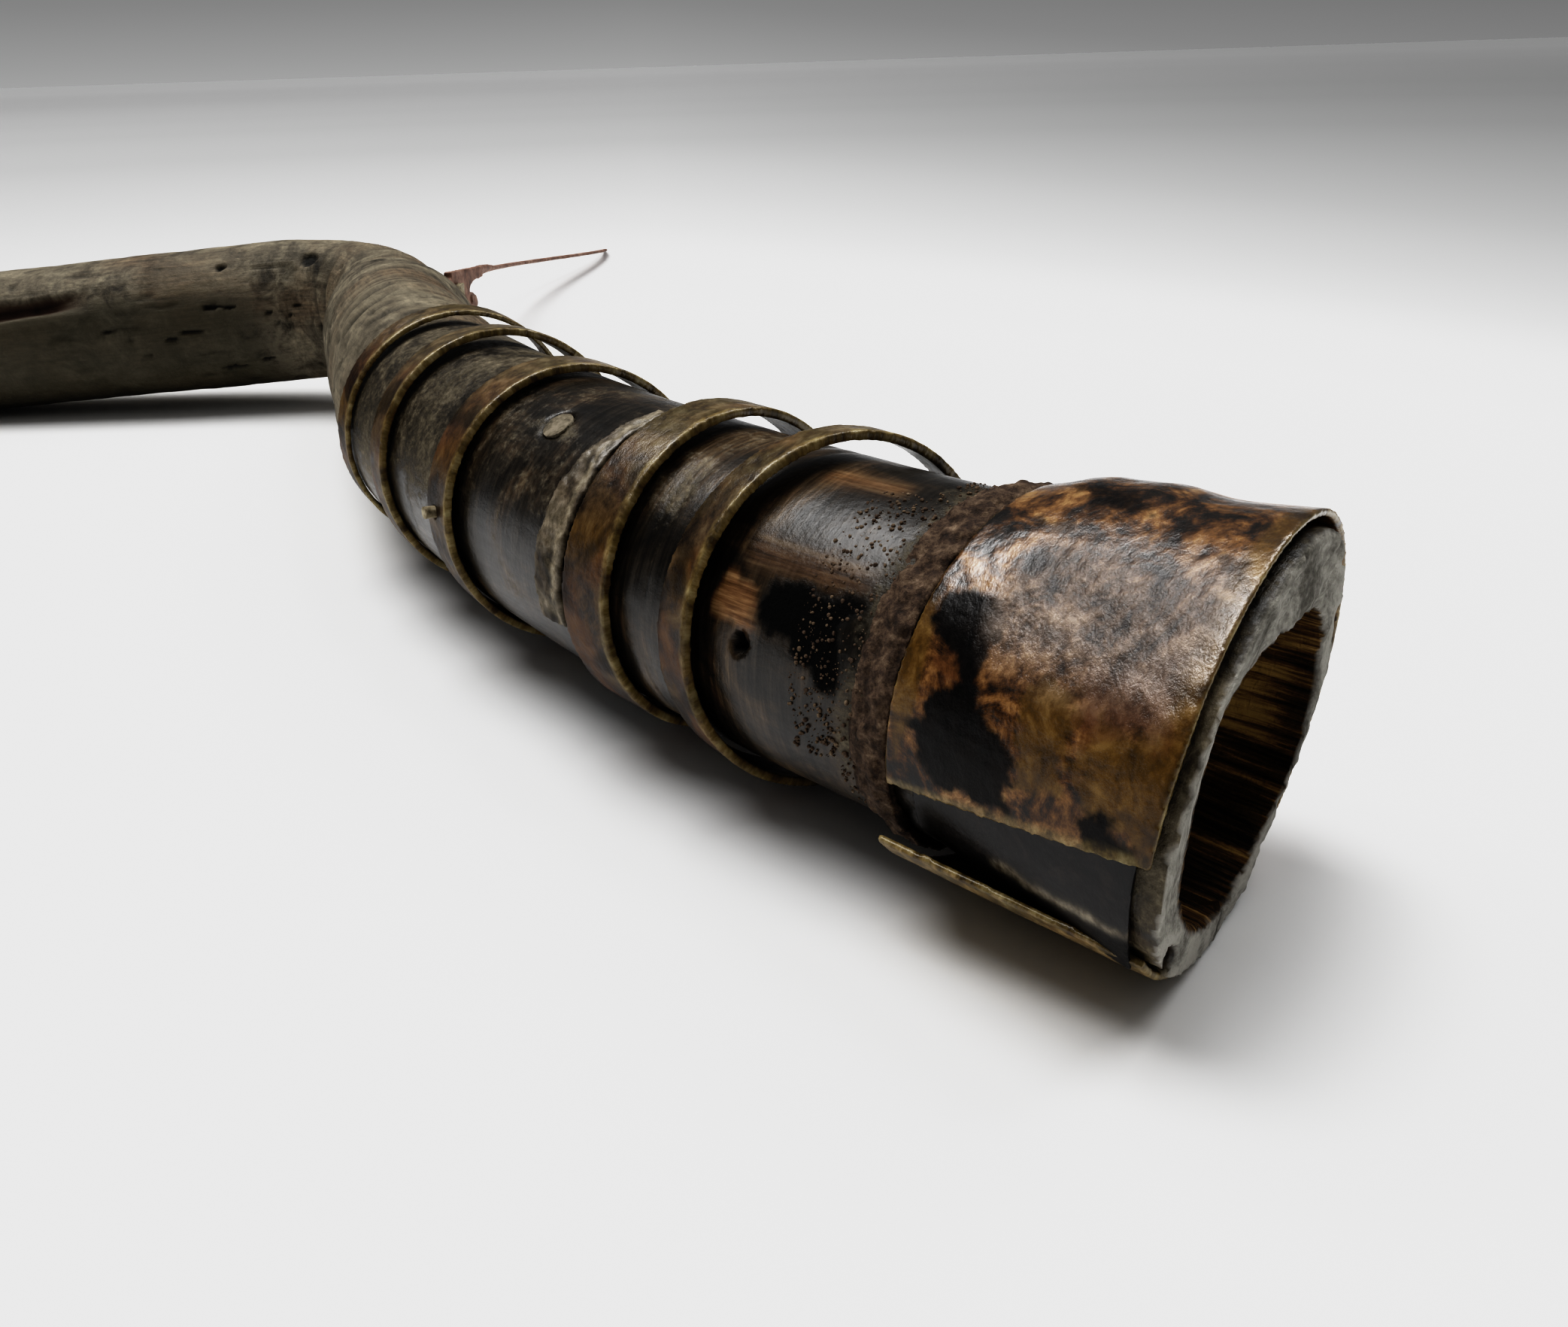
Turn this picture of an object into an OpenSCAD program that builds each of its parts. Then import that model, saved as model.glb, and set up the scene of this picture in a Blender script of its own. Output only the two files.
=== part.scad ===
// A hand scythe for grain: hollow handle with horn hoops, bent wooden crook, thin iron blade.
// It lies on its side on a table (z = 0) and rests on the mouth of the handle, the arm of the
// crook and the point of the blade. Sizes are in millimetres.

/* [Handle] */
// Radius of the handle tube
tube_r = 19.6; // [18.8:0.1:19.6]
// Length of the handle tube, from the mouth to the shoulder of the crook
tube_len = 164.5; // [163:0.5:166]
// Length of the straight end at the mouth
flare_len = 32; // [32:0.5:34]
// Radius of the wood at the mouth
mouth_r = 23.6; // [22:0.1:24]
// Radius of the curve of the handle, seen from above
handle_curve_r = 400; // [380:5:440]
// Direction of the mouth end, in degrees from +Y towards -X
mouth_heading = 48.5; // [46:0.5:51]
// Droop of the mouth end, in degrees
mouth_dip = 1.7; // [1:0.1:2.5]
// Turn of the mouth end towards the left, in degrees
mouth_turn = 0.9; // [0:0.1:1.5]
// Height of the handle's axis above the table
axis_h = 27.0; // [27:0.1:28]
// Radius of the bore at the mouth
bore_r = 14.0; // [11:0.5:15]
// Length of the wide part of the bore
bore_len = 42; // [30:1:46]
// Length of the narrowing end of the bore
bore_taper_len = 24; // [14:1:28]
// Radius at the blind end of the bore
bore_end_r = 8.0; // [5:0.5:9]

/* [Crook] */
// Radius of the neck
neck_r = 20.2; // [19.8:0.1:20.6]
// Radius of the arm
arm_r = 18.7; // [17:0.1:19]
// Length of the neck, from the shoulder to the bend
neck_len = 105; // [102:0.5:110]
// Angle of the bend, in degrees
bend_angle = 75.5; // [70:0.5:78]
// Radius of the bend, to the middle of the wood
bend_r = 34.4; // [32:0.1:38]
// How much narrower the wood is in the middle of the bend
bend_pinch = 0.28; // [0.1:0.01:0.3]
// How much narrower the neck is, across the level
neck_pinch = 0.14; // [0:0.01:0.18]
// Length of the straight part of the arm
arm_len = 100; // [90:1:120]
// Length of the tapering end of the arm
hook_len = 150; // [110:5:170]
// Radius of the wood just before the rounded end of the arm
hook_tip_r = 7; // [5:0.5:9]
// Angle that the tapering end curves through, towards the blade
hook_curve = 30; // [0:1:40]
// Rise of the neck, in degrees
neck_rise = 1.0; // [0.9:0.1:1.6]
// Fall of the arm towards the table, in degrees
arm_fall = 5.0; // [4.4:0.1:5.4]
// Slope at the rounded end of the arm, in degrees
hook_slope = 2.0; // [0:0.1:4]
// Length of the tenon inside the handle tube
tenon_len = 80; // [74:1:84]
// Radius of the tenon
tenon_r = 12; // [10:0.5:13]

/* [End sleeve] */
// Length of the horn sleeve round the mouth
sleeve_len = 26.9; // [25:0.1:27.5]
// Outer radius of the sleeve at the mouth
sleeve_mouth_r = 25.4; // [25.2:0.1:25.9]
// Outer radius of the sleeve at its far edge
sleeve_far_r = 21.4; // [21.4:0.1:22]
// Thickness of the horn sheet
horn_t = 0.8; // [0.6:0.1:0.8]
// How much the bottom of the mouth is flattened
mouth_flat = 3.9; // [3:0.1:4.5]
// Width of the open seam, in degrees round the handle
seam_angle = 24; // [18:1:32]
// Height of the seam's upper edge at the mouth, above the middle of the left side
seam_rise = 1.8; // [0:0.1:3]
// Slant of the seam's upper edge, in degrees
seam_slant = 12.3; // [4:0.1:14]
// Radius of the loose lower end of the sheet
lap_r = 27.6; // [26.5:0.1:29]

/* [Hoops] */
// Distance of hoop 1 from the mouth
hoop_1_s = 53.0; // [52:0.1:55]
// Distance of hoop 2 from the mouth
hoop_2_s = 74.5; // [73:0.1:74.8]
// Distance of hoop 3 from the mouth
hoop_3_s = 111.4; // [110.8:0.1:113]
// Distance of hoop 4 from the mouth
hoop_4_s = 138.4; // [136:0.1:142]
// Distance of hoop 5 from the mouth
hoop_5_s = 162.6; // [161.6:0.1:163.4]
// Thickness of a hoop
hoop_t = 1.2; // [0.8:0.1:1.3]
// Width of the broad hoops
hoop_w_broad = 9.2; // [8:0.1:9.2]
// Width of the narrow hoops
hoop_w_narrow = 6.4; // [5:0.1:6.4]

/* [Blade] */
// Thickness of the blade
blade_t = 1.4; // [1.0:0.1:1.8]
// Width of the blade at its broadest
blade_w = 6.5; // [5:0.5:8]
// Slant of the blade's flat side, in degrees
blade_roll = 8; // [0:1:15]
// Thickness of the plate at the blade's root
root_t = 2.2; // [1.8:0.1:2.6]
// Length of the tang inside the crook
tang_len = 15; // [10:1:17]

/* [Hidden] */

// The whole object leans a little, so that it rests on its three points. The frame's origin lies on
// the table, below the middle of the object.
lean = [-0.0376, 0.9749, 0];
origin = [-172, 264, 0];
to_table = [31.1585, 2.9685, -1.8119];

deg_per_mm = 180 / PI / handle_curve_r;
gap = 0.1;

// Colours
wood_grey = [0.36, 0.33, 0.28];
lacquer_black = [0.13, 0.11, 0.10];
horn_amber = [0.48, 0.32, 0.12];
horn_olive = [0.50, 0.43, 0.26];
resin_brown = [0.29, 0.22, 0.17];
peg_wood = [0.55, 0.52, 0.42];
iron_brown = [0.36, 0.28, 0.24];

// Directions: h turns from +Y towards -X, e is the rise above the level.
function left_of(h) = [-cos(h), -sin(h), 0];
function along(h, e) = [-sin(h) * cos(e), cos(h) * cos(e), sin(e)];

// Skin over a list of rings with the same number of points each.
module skin(rings) {
    m = len(rings);
    n = len(rings[0]);
    sides = [for (i = [0:m - 2], j = [0:n - 1])
        [(i + 1) * n + j, (i + 1) * n + (j + 1) % n, i * n + (j + 1) % n, i * n + j]];
    start = [for (j = [0:n - 1]) j];
    end = [for (j = [0:n - 1]) m * n - 1 - j];
    polyhedron(points = [for (r = rings) each r], faces = concat(sides, [start, end]), convexity = 6);
}

// The handle's axis: straight at the mouth, then one arc that turns to the right.
function handle_heading(s) = mouth_heading - max(0, s - flare_len) * deg_per_mm;
function handle_at(s) =
    let (m = mouth_heading, h = handle_heading(s), f = min(s, flare_len))
    [-sin(m) * f + handle_curve_r * (cos(m) - cos(h)), cos(m) * f + handle_curve_r * (sin(m) - sin(h)), axis_h];

// Puts children on the handle's axis: x to the left, y up, z towards the crook.
module on_handle(s) {
    translate(handle_at(s)) rotate([90, 0, handle_heading(s) + 180]) children();
}

// The mouth end droops about the place where the arc begins.
module on_mouth() {
    on_handle(flare_len) rotate([-mouth_dip, mouth_turn, 0]) translate([0, 0, -flare_len]) children();
}

// Puts children on the handle's surface, with z outwards. The turn goes from the top to the left.
module on_surface(s, turn) {
    on_handle(s) rotate([0, 0, -turn]) rotate([-90, 0, 0]) children();
}

// Round wood that follows the handle's arc.
module arc_rod(s0, s1, r) {
    h0 = handle_heading(s0);
    h1 = handle_heading(s1);
    centre = handle_at(s1) + handle_curve_r * [cos(h1), sin(h1), 0];
    translate(centre) rotate([0, 0, h1 + 180])
        rotate_extrude(angle = h0 - h1, $fn = 180) translate([handle_curve_r, 0]) circle(r = r, $fn = 64);
}

// Pins and holes in the handle
peg_s = 95.5;
peg_turn = 29;
peg_r = 2.3;
pin_s = 113.8;
pin_turn = 84;
pin_r = 0.9;
nail_hole_s = 48.6;
nail_hole_turn = 77;
nail_hole_r = 1.1;
tenon_mid_s = tube_len - tenon_len / 2;
tenon_lean = handle_curve_r * (1 - cos(tenon_len / 2 * deg_per_mm));

module tenon_place() {
    on_handle(tenon_mid_s) translate([-tenon_lean / 2, 0, -tenon_len / 2]) children();
}
module peg_shape(r, top) {
    on_surface(peg_s, peg_turn) translate([0, 0, 3]) cylinder(h = tube_r - 3 + top, r = r, $fn = 32);
}
module pin_shape(r, top) {
    on_surface(pin_s, pin_turn) translate([0, 0, tube_r - 5]) cylinder(h = 5 + top, r = r, $fn = 24);
}

// A cone that is round the handle's axis at the far edge of the sleeve, and raised at the mouth, so
// that its lowest line is level with the axis.
flat_r = sleeve_far_r + mouth_flat + 0.1;
flat_slope = (flat_r - sleeve_far_r) / sleeve_len;
module flat_cone(inset) {
    r = flat_r - inset;
    translate([0, flat_r * cos(atan(flat_slope)) - sleeve_far_r - 0.1, 0]) rotate([atan(flat_slope), 0, 0])
        translate([0, 0, -12]) cylinder(h = 60, r1 = r + 12 * flat_slope, r2 = r - 48 * flat_slope, $fn = 128);
}

module handle_tube() color(lacquer_black) difference() {
    union() {
        // The wood widens towards the mouth, and is flattened below, where the sleeve is.
        on_mouth() intersection() {
            union() {
                translate([0, 0, -4]) cylinder(h = 4.01, r = mouth_r, $fn = 96);
                cylinder(h = 29, r1 = mouth_r, r2 = tube_r - 0.3, $fn = 96);
            }
            flat_cone(horn_t + 0.15);
        }
        on_mouth() translate([0, 0, 18]) cylinder(h = flare_len - 17.2, r = tube_r + 0.1, $fn = 96);
        arc_rod(flare_len, tube_len, tube_r);
    }
    // The end of the wood is worn at a slant. It stands out of the sleeve at the top and right.
    on_mouth() rotate([-1.2, 3.8, 0]) translate([0, 0, -10.8]) cylinder(h = 10, r = 40, $fn = 96);
    on_mouth() {
        translate([0, 0, -8]) cylinder(h = bore_len + 8, r = bore_r, $fn = 64);
        translate([0, 0, bore_len - 0.01])
            cylinder(h = bore_taper_len, r1 = bore_r, r2 = bore_end_r, $fn = 64);
    }
    // Decayed hollow in the wall, behind the loose end of the sleeve
    on_mouth() translate([16.4, -12.2, -8]) cylinder(h = 20, r = 2.5, $fn = 32);
    tenon_place() translate([0, 0, -gap]) cylinder(h = tenon_len + 6, r = tenon_r + gap, $fn = 64);
    peg_shape(peg_r + gap / 2, 2);
    pin_shape(pin_r + gap / 2, 2);
    on_surface(nail_hole_s, nail_hole_turn)
        translate([0, 0, tube_r - 4]) cylinder(h = 6, r = nail_hole_r, $fn = 24);
}

// Crook: neck, bend, straight arm, and a tapering end with a rounded point.
neck_turn = neck_len * deg_per_mm;
neck_heading = handle_heading(tube_len);
arm_heading = neck_heading - neck_turn + bend_angle;
bend_end = neck_len + bend_r * bend_angle * PI / 180;
arm_end = bend_end + arm_len;
crook_len = arm_end + hook_len;
crook_rings = 104;
crook_sides = 36;

function crook_heading(u) = lookup(u, [[0, neck_heading], [neck_len, neck_heading - neck_turn],
    [bend_end, arm_heading], [arm_end, arm_heading], [crook_len, arm_heading - hook_curve]]);
function crook_slope(u) = lookup(u, [[0, 0], [neck_len / 3, neck_rise], [neck_len, neck_rise],
    [bend_end, -arm_fall], [arm_end, -arm_fall], [crook_len, hook_slope]]);
// The neck is oval, and the wood is narrower in the bend, across the level.
bend_mid = (neck_len + bend_end) / 2;
function bend_width(u) = lookup(u, [[0, 1], [30, 1 - neck_pinch], [58, 1 - neck_pinch], [neck_len - 22, 0.966],
    [neck_len, 1 - bend_pinch * 0.58], [bend_mid, 1 - bend_pinch], [bend_end - 3, 1 - bend_pinch * 0.73],
    [bend_end + 16, 1 - bend_pinch * 0.32], [bend_end + 40, 1]]);
function bend_height(u) = lookup(u, [[0, 1], [30, 1.07], [58, 1.01], [neck_len - 22, 0.965], [neck_len, 0.91],
    [bend_mid, 0.95], [bend_end - 3, 1]]);
// The worn inside of the neck and the outside of the bend shift the wood a little off its path.
function bend_shift(u) = lookup(u, [[0, 0], [30, -0.7], [58, -2.0], [neck_len - 22, -2.8], [neck_len, -1.3],
    [bend_mid, 1.1], [bend_end - 3, 0.7], [bend_end + 16, 0]]);
function crook_radius(u) =
    let (left = crook_len - u, r = lookup(u, [[0, tube_r], [5, tube_r], [14, neck_r], [neck_len / 2, neck_r],
        [neck_len - 8, neck_r - 1.6], [bend_end + 10, arm_r], [arm_end, arm_r - 0.4], [crook_len, hook_tip_r]]))
    left >= hook_tip_r ? r : sqrt(max(0.04, hook_tip_r ^ 2 - (hook_tip_r - left) ^ 2));
function crook_u(i) = i < crook_rings - 4
    ? i * (crook_len - hook_tip_r) / (crook_rings - 4)
    : crook_len - hook_tip_r + hook_tip_r * sin(90 * (i - crook_rings + 4) / 4);
crook_path = [for (i = 0, p = handle_at(tube_len); i <= crook_rings;
    du = crook_u(i + 1) - crook_u(i), m = crook_u(i) + du / 2,
    p = p + du * along(crook_heading(m), crook_slope(m)), i = i + 1) p];

function crook_ring(i) =
    let (u = crook_u(i), h = crook_heading(u), d = along(h, crook_slope(u)), x = left_of(h), y = cross(x, d))
    [for (j = [0:crook_sides - 1]) let (a = 360 * j / crook_sides)
        crook_path[i] + (bend_shift(u) + crook_radius(u) * bend_width(u) * cos(a)) * x
            - crook_radius(u) * bend_height(u) * sin(a) * y];

module crook() color(wood_grey) difference() {
    union() {
        skin([for (i = [0:crook_rings]) crook_ring(i)]);
        tenon_place() cylinder(h = tenon_len + 4, r = tenon_r, $fn = 64);
    }
    peg_shape(peg_r + gap / 2, 2);
    tang_shape(gap);
    wedge_shape(gap / 2);
}

// End sleeve: one sheet of horn bent round the mouth. The seam is open on the left side. The lower
// left part of the sheet is loose, and stands off like a lip.
module cone_shell(r1, r2, t, len, a0, a1) {
    rotate([0, 0, a0]) rotate_extrude(angle = a1 - a0, $fn = 128)
        polygon([[r1 - t, 0], [r1, 0], [r2, len], [r2 - t, len]]);
}
// Keeps what is between the two slanting ends of the sleeve.
module between_ends() {
    intersection() {
        children();
        rotate([-0.3, 2.3, 0]) cylinder(h = 60, r = 60, $fn = 64);
        translate([0, 0, sleeve_len]) rotate([0.8, -5, 0])
            translate([0, 0, -60]) cylinder(h = 60, r = 60, $fn = 64);
    }
}
module end_sleeve() color(horn_amber) on_mouth() between_ends() {
    slope = (sleeve_mouth_r - sleeve_far_r) / sleeve_len;
    union() {
        difference() {
            translate([0, 0, -4])
                cone_shell(sleeve_mouth_r + 4 * slope, sleeve_far_r - 6 * slope, horn_t, sleeve_len + 10,
                    -24, 182);
            // The upper edge of the seam runs down towards the far end.
            translate([0, seam_rise, 0]) rotate([seam_slant, 0, 0])
                translate([0, -30, -20]) cube([40, 30, 70]);
        }
        intersection() {
            difference() {
                flat_cone(0);
                flat_cone(horn_t);
            }
            translate([-50, -50, -6]) cube([50.01, 50.5, 50]);
        }
        translate([0, lap_r - sleeve_far_r - 0.1, -6]) rotate([0, 0, 269.5])
            rotate_extrude(angle = 90 - seam_angle - 13, $fn = 128)
                translate([lap_r - horn_t, 0]) square([horn_t, 44]);
    }
}

// Sleeve liner: a thin black strip that closes the seam from the inside.
module sleeve_liner() color(lacquer_black) on_mouth() translate([0, 0, 0.5])
    cone_shell(sleeve_mouth_r - horn_t - 0.1, sleeve_far_r - horn_t - 0.05, 0.5, sleeve_len - 1.5,
        -seam_angle - 6, 12);

// Resin belt: a bead of resin that seals the far edge of the sleeve.
module resin_belt() color(resin_brown) on_mouth() translate([0, 0, sleeve_len]) rotate([0.8, -5, 0])
    translate([0, 0, 0.1]) rotate_extrude($fn = 96) polygon([
        [tube_r + 0.25, 0], [tube_r + 1.3, 0], [tube_r + 1.6, 1.4], [tube_r + 1.3, 3.6], [tube_r + 0.6, 5.6],
        [tube_r + 0.25, 6]
    ]);

// Hoops: horn rings pushed on the tube. Most of them have slipped askew. The far edge of some is cut
// at a slant, so that the ring is narrowest at its top right.
module hoop(s, r_in, w, lean_side, lean_up, right, up, cut = 0, t = hoop_t) {
    on_handle(s) translate([-right, up, 0]) rotate([-lean_up, -lean_side, 0]) difference() {
        translate([0, 0, -w / 2]) cylinder(h = w, r = r_in + t, $fn = 128);
        translate([0, 0, -w]) cylinder(h = 2 * w, r = r_in, $fn = 128);
        if (cut > 0) {
            rotate([0, 0, 135]) translate([-r_in - t, 0, w / 2]) rotate([0, cut, 0])
                translate([-20, -40, 0]) cube([100, 80, 20]);
        }
    }
}
module hoop_1() color(horn_olive) hoop(hoop_1_s, 21.2, hoop_w_narrow + 0.4, 13.7, -3.2, 0.15, 0.55, 3.6);
module hoop_2() color(horn_olive) hoop(hoop_2_s, 20.6, hoop_w_broad, -0.3, -0.2, 0.25, 0.35, 3);
module hoop_3() color(horn_olive) difference() {
    hoop(hoop_3_s, 20.2, hoop_w_broad - 1.2, 4.8, -1.6, 0.05, 0.15);
    pin_shape(pin_r + gap / 2, 4);
}
module hoop_4() color(horn_olive) hoop(hoop_4_s, 20.6, hoop_w_narrow, 1.8, -2.8, 0.7, 0.45);
module hoop_5() color(horn_olive)
    hoop(hoop_5_s, 20.9, hoop_w_narrow - 1.6, -4.6, 6, 0.9, 0.5, 0, hoop_t - 0.3);

// Worn hoop: what is left of a sixth hoop, stuck on the left side of the tube beside hoop 2.
module worn_hoop() color(resin_brown) on_handle(82) intersection() {
    translate([0, 0, -1.9]) rotate([0, 0, -14]) rotate_extrude(angle = 98, $fn = 128)
        translate([tube_r + 0.06, 0]) square([0.9, 7]);
    translate([0, 0, -3.2]) rotate([0, -13.5, 0]) translate([0, 0, -2.75]) cylinder(h = 5.5, r = 40, $fn = 64);
}

// Pegs
module tenon_peg() color(peg_wood) peg_shape(peg_r, 0.2);
module hoop_pin() color(peg_wood) pin_shape(pin_r, 3.2);

// Blade: a narrow forged crescent that leaves the back of the bend and ends on the table.
blade_curve = [[-132, 249, 35.2], [-141, 320, 27.4], [-165, 420, 13.0], [-118, 480, 10.6], [-134, 541.6, 2.9]];
blade_rings = 56;
function bezier(p, t) = len(p) == 1 ? p[0]
    : bezier([for (i = [0:len(p) - 2]) p[i] * (1 - t) + p[i + 1] * t], t);
function blade_dir(t) = let (d = bezier(blade_curve, t + 0.005) - bezier(blade_curve, t - 0.005)) d / norm(d);
function blade_section(t) =
    let (d = blade_dir(t), x = cross([0, 0, 1], d) / norm(cross([0, 0, 1], d)), y = cross(d, x),
        w = lookup(t, [[0, 3.2], [0.07, 3.4], [0.2, blade_w], [0.7, blade_w * 0.9], [0.93, blade_w * 0.5],
            [1, 0.8]]) / 2,
        h = lookup(t, [[0, root_t], [0.08, root_t * 0.9], [0.2, blade_t], [0.9, blade_t * 0.8], [1, 0.5]]) / 2,
        a = lookup(t, [[0, 90], [0.05, 88], [0.2, blade_roll], [1, blade_roll / 2]]),
        flat = [[-w, 0], [-w * 0.8, -h], [w * 0.5, -h], [w, -h * 0.2], [w, h * 0.2], [w * 0.5, h],
            [-w * 0.8, h]])
    [for (q = flat) bezier(blade_curve, t) + (q[0] * cos(a) + q[1] * sin(a)) * x
        + (q[1] * cos(a) - q[0] * sin(a)) * y];

// The root plate stands upright. Its lower lobe takes a rivet.
module upright(t) {
    translate([-132 - t, 0, 0]) rotate([90, 0, 90]) linear_extrude(height = t) children();
}
module root_outline() {
    polygon([[233, 38.7], [249.3, 36.9], [268, 35.0], [268, 32.1], [258, 32.8], [252.5, 32.3], [250.4, 31.3],
        [250.4, 30.7], [254, 30.0], [257.4, 28.6], [258.6, 26.6], [257.9, 25.5], [250, 24.2], [233, 25.4]]);
}
module tang_shape(grow) {
    translate([grow, 0, 0]) upright(root_t + 2 * grow) translate([238.5 - tang_len, 26 - grow])
        square([tang_len + 1.5 + grow, 11 + 2 * grow]);
}
module wedge_shape(grow) {
    translate([-132 + gap - grow, 238.5 - tang_len, 28 - grow])
        cube([1.4 + 2 * grow, tang_len + grow, 7 + 2 * grow]);
}
module rivet_shape(grow) {
    translate([-131.4, 251, 28.6]) rotate([0, -90, 0]) cylinder(h = 4, r = 1 + grow, $fn = 24);
}
module blade() color(iron_brown) difference() {
    union() {
        skin([for (i = [0:blade_rings]) blade_section(0.045 + 0.955 * i / blade_rings)]);
        upright(root_t) root_outline();
        tang_shape(0);
    }
    rivet_shape(gap / 2);
}
module blade_rivet() color(iron_brown) rivet_shape(0);
module tang_wedge() color(peg_wood) wedge_shape(0);

translate(to_table) rotate(lean) translate(-origin) {
    handle_tube();
    crook();
    end_sleeve();
    sleeve_liner();
    resin_belt();
    hoop_1();
    hoop_2();
    hoop_3();
    hoop_4();
    hoop_5();
    worn_hoop();
    tenon_peg();
    hoop_pin();
    blade();
    blade_rivet();
    tang_wedge();
}
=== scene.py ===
import math

import bpy
import numpy as np
from mathutils import Matrix, Vector, noise


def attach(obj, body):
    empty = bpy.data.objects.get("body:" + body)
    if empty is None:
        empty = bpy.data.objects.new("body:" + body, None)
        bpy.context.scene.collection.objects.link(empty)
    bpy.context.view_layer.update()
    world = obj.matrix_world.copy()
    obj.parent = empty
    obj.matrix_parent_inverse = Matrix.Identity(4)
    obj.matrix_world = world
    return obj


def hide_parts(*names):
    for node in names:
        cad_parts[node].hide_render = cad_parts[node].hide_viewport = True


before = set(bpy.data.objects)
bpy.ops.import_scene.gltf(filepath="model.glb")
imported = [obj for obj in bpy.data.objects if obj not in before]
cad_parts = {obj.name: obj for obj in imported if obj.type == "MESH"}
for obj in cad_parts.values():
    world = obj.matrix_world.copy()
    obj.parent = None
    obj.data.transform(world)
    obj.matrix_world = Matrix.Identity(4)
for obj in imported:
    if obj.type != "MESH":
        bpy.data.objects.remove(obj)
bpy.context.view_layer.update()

# Crook. One branch of a hard wood, steamed and bent, scraped round and left bare. Years of hands and
# weather have turned it grey-brown, with long drying cracks, small pits, and wrinkles where it was bent.
LEAN = Matrix.Rotation(math.radians(0.9749), 3, "Y") @ Matrix.Rotation(math.radians(-0.0376), 3, "X")
LAID_FROM = np.array([-172.0, 264.0, 0.0])
TABLE_FROM = np.array([31.1585, 2.9685, -1.8119])


def laid_out(points):
    """Places on the table, in metres, as millimetres in a layout where the handle's axis is level."""
    return (np.asarray(points) * 1000 - TABLE_FROM) @ np.array(LEAN) + LAID_FROM


def on_table(points):
    """The way back from the layout to the table."""
    return ((np.asarray(points) - LAID_FROM) @ np.array(LEAN).T + TABLE_FROM) / 1000


def rough(points, size, seed, octaves=1):
    """Smooth noise, about -1 to 1, over points in millimetres, with bumps about size across."""
    places = (np.asarray(points, float) / size + seed * 17.31).tolist()
    if octaves == 1:
        return np.array([noise.noise(p) for p in places])
    return np.array([noise.fractal(p, 1.0, 2.0, octaves) for p in places])


def smooth_step(low, high, value):
    t = np.clip((value - low) / (high - low), 0, 1)
    return t * t * (3 - 2 * t)


def spots(along, turn, places):
    """How deep each point is inside marked places: mm along, degrees round, half length, half width."""
    depth = np.full(len(along), -3.0)
    for place, angle, length, width in places:
        depth = np.maximum(depth, 1 - ((along - place) / length) ** 2 - ((turn - angle) / width) ** 2)
    return depth


def corners(piece):
    places = np.empty(len(piece.data.vertices) * 3, np.float32)
    piece.data.vertices.foreach_get("co", places)
    return places.reshape(-1, 3).astype(float)


def outward(piece):
    normals = np.empty(len(piece.data.vertices) * 3, np.float32)
    piece.data.vertices.foreach_get("normal", normals)
    return normals.reshape(-1, 3).astype(float) @ np.array(LEAN)


def move_corners(piece, places):
    piece.data.vertices.foreach_set("co", np.ascontiguousarray(on_table(places), np.float32).ravel())
    piece.data.update()


def paint(piece, name, values):
    """Stores a number or a triple for each corner, for the material to read."""
    values = np.asarray(values, np.float32)
    kind, field = ("FLOAT_VECTOR", "vector") if values.ndim == 2 else ("FLOAT", "value")
    piece.data.attributes.new(name, kind, "POINT").data.foreach_set(field, values.ravel())


def only(piece):
    bpy.ops.object.select_all(action="DESELECT")
    piece.select_set(True)
    bpy.context.view_layer.objects.active = piece


def apply_modifier(piece, kind, **settings):
    only(piece)
    modifier = piece.modifiers.new(kind, kind)
    for key, value in settings.items():
        setattr(modifier, key, value)
    bpy.ops.object.modifier_apply(modifier=modifier.name)


def skin_of(node, name, voxel_mm, worn=0):
    """A copy of a solid, merged, with an even fine skin. Its corners are worn round by a few passes."""
    piece = bpy.data.objects.new(name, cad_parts[node].data.copy())
    bpy.context.scene.collection.objects.link(piece)
    piece.data.materials.clear()
    only(piece)
    bpy.ops.object.mode_set(mode="EDIT")
    bpy.ops.mesh.select_all(action="SELECT")
    bpy.ops.mesh.remove_doubles(threshold=2e-6)
    bpy.ops.object.mode_set(mode="OBJECT")
    apply_modifier(piece, "REMESH", mode="VOXEL", voxel_size=voxel_mm / 1000)
    if worn:
        apply_modifier(piece, "SMOOTH", factor=0.5, iterations=worn)
    return piece


def finish_piece(piece, slot, material, *nodes):
    """Smooth shading, the material, and the piece's place in the tool."""
    only(piece)
    bpy.ops.object.shade_smooth()
    piece.data.materials.clear()
    piece.data.materials.append(material)
    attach(piece, "root")
    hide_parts(*nodes)


def paint_tone(hex_colour):
    """An sRGB hex colour as the linear colour that a material takes."""
    parts = [int(hex_colour[i:i + 2], 16) / 255 for i in (1, 3, 5)]
    return [p / 12.92 if p <= 0.04045 else ((p + 0.055) / 1.055) ** 2.4 for p in parts] + [1.0]


def add(tree, kind, settings=(), links=()):
    """Adds one node. A link's value is another node's socket, a number, a colour or a vector."""
    node = tree.nodes.new("ShaderNode" + kind)
    for key, value in dict(settings).items():
        if key == "stops":
            while len(node.color_ramp.elements) < len(value):
                node.color_ramp.elements.new(0.5)
            for element, (place, tone) in zip(node.color_ramp.elements, value):
                element.position = place
                element.color = paint_tone(tone) if isinstance(tone, str) else (tone, tone, tone, 1)
        else:
            setattr(node, key, value)
    for key, value in dict(links).items():
        if isinstance(value, bpy.types.NodeSocket):
            tree.links.new(value, node.inputs[key])
        else:
            node.inputs[key].default_value = value
    return node


def start_material(name):
    material = bpy.data.materials.new(name)
    material.use_nodes = True
    material.node_tree.nodes.clear()
    return material, material.node_tree


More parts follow.
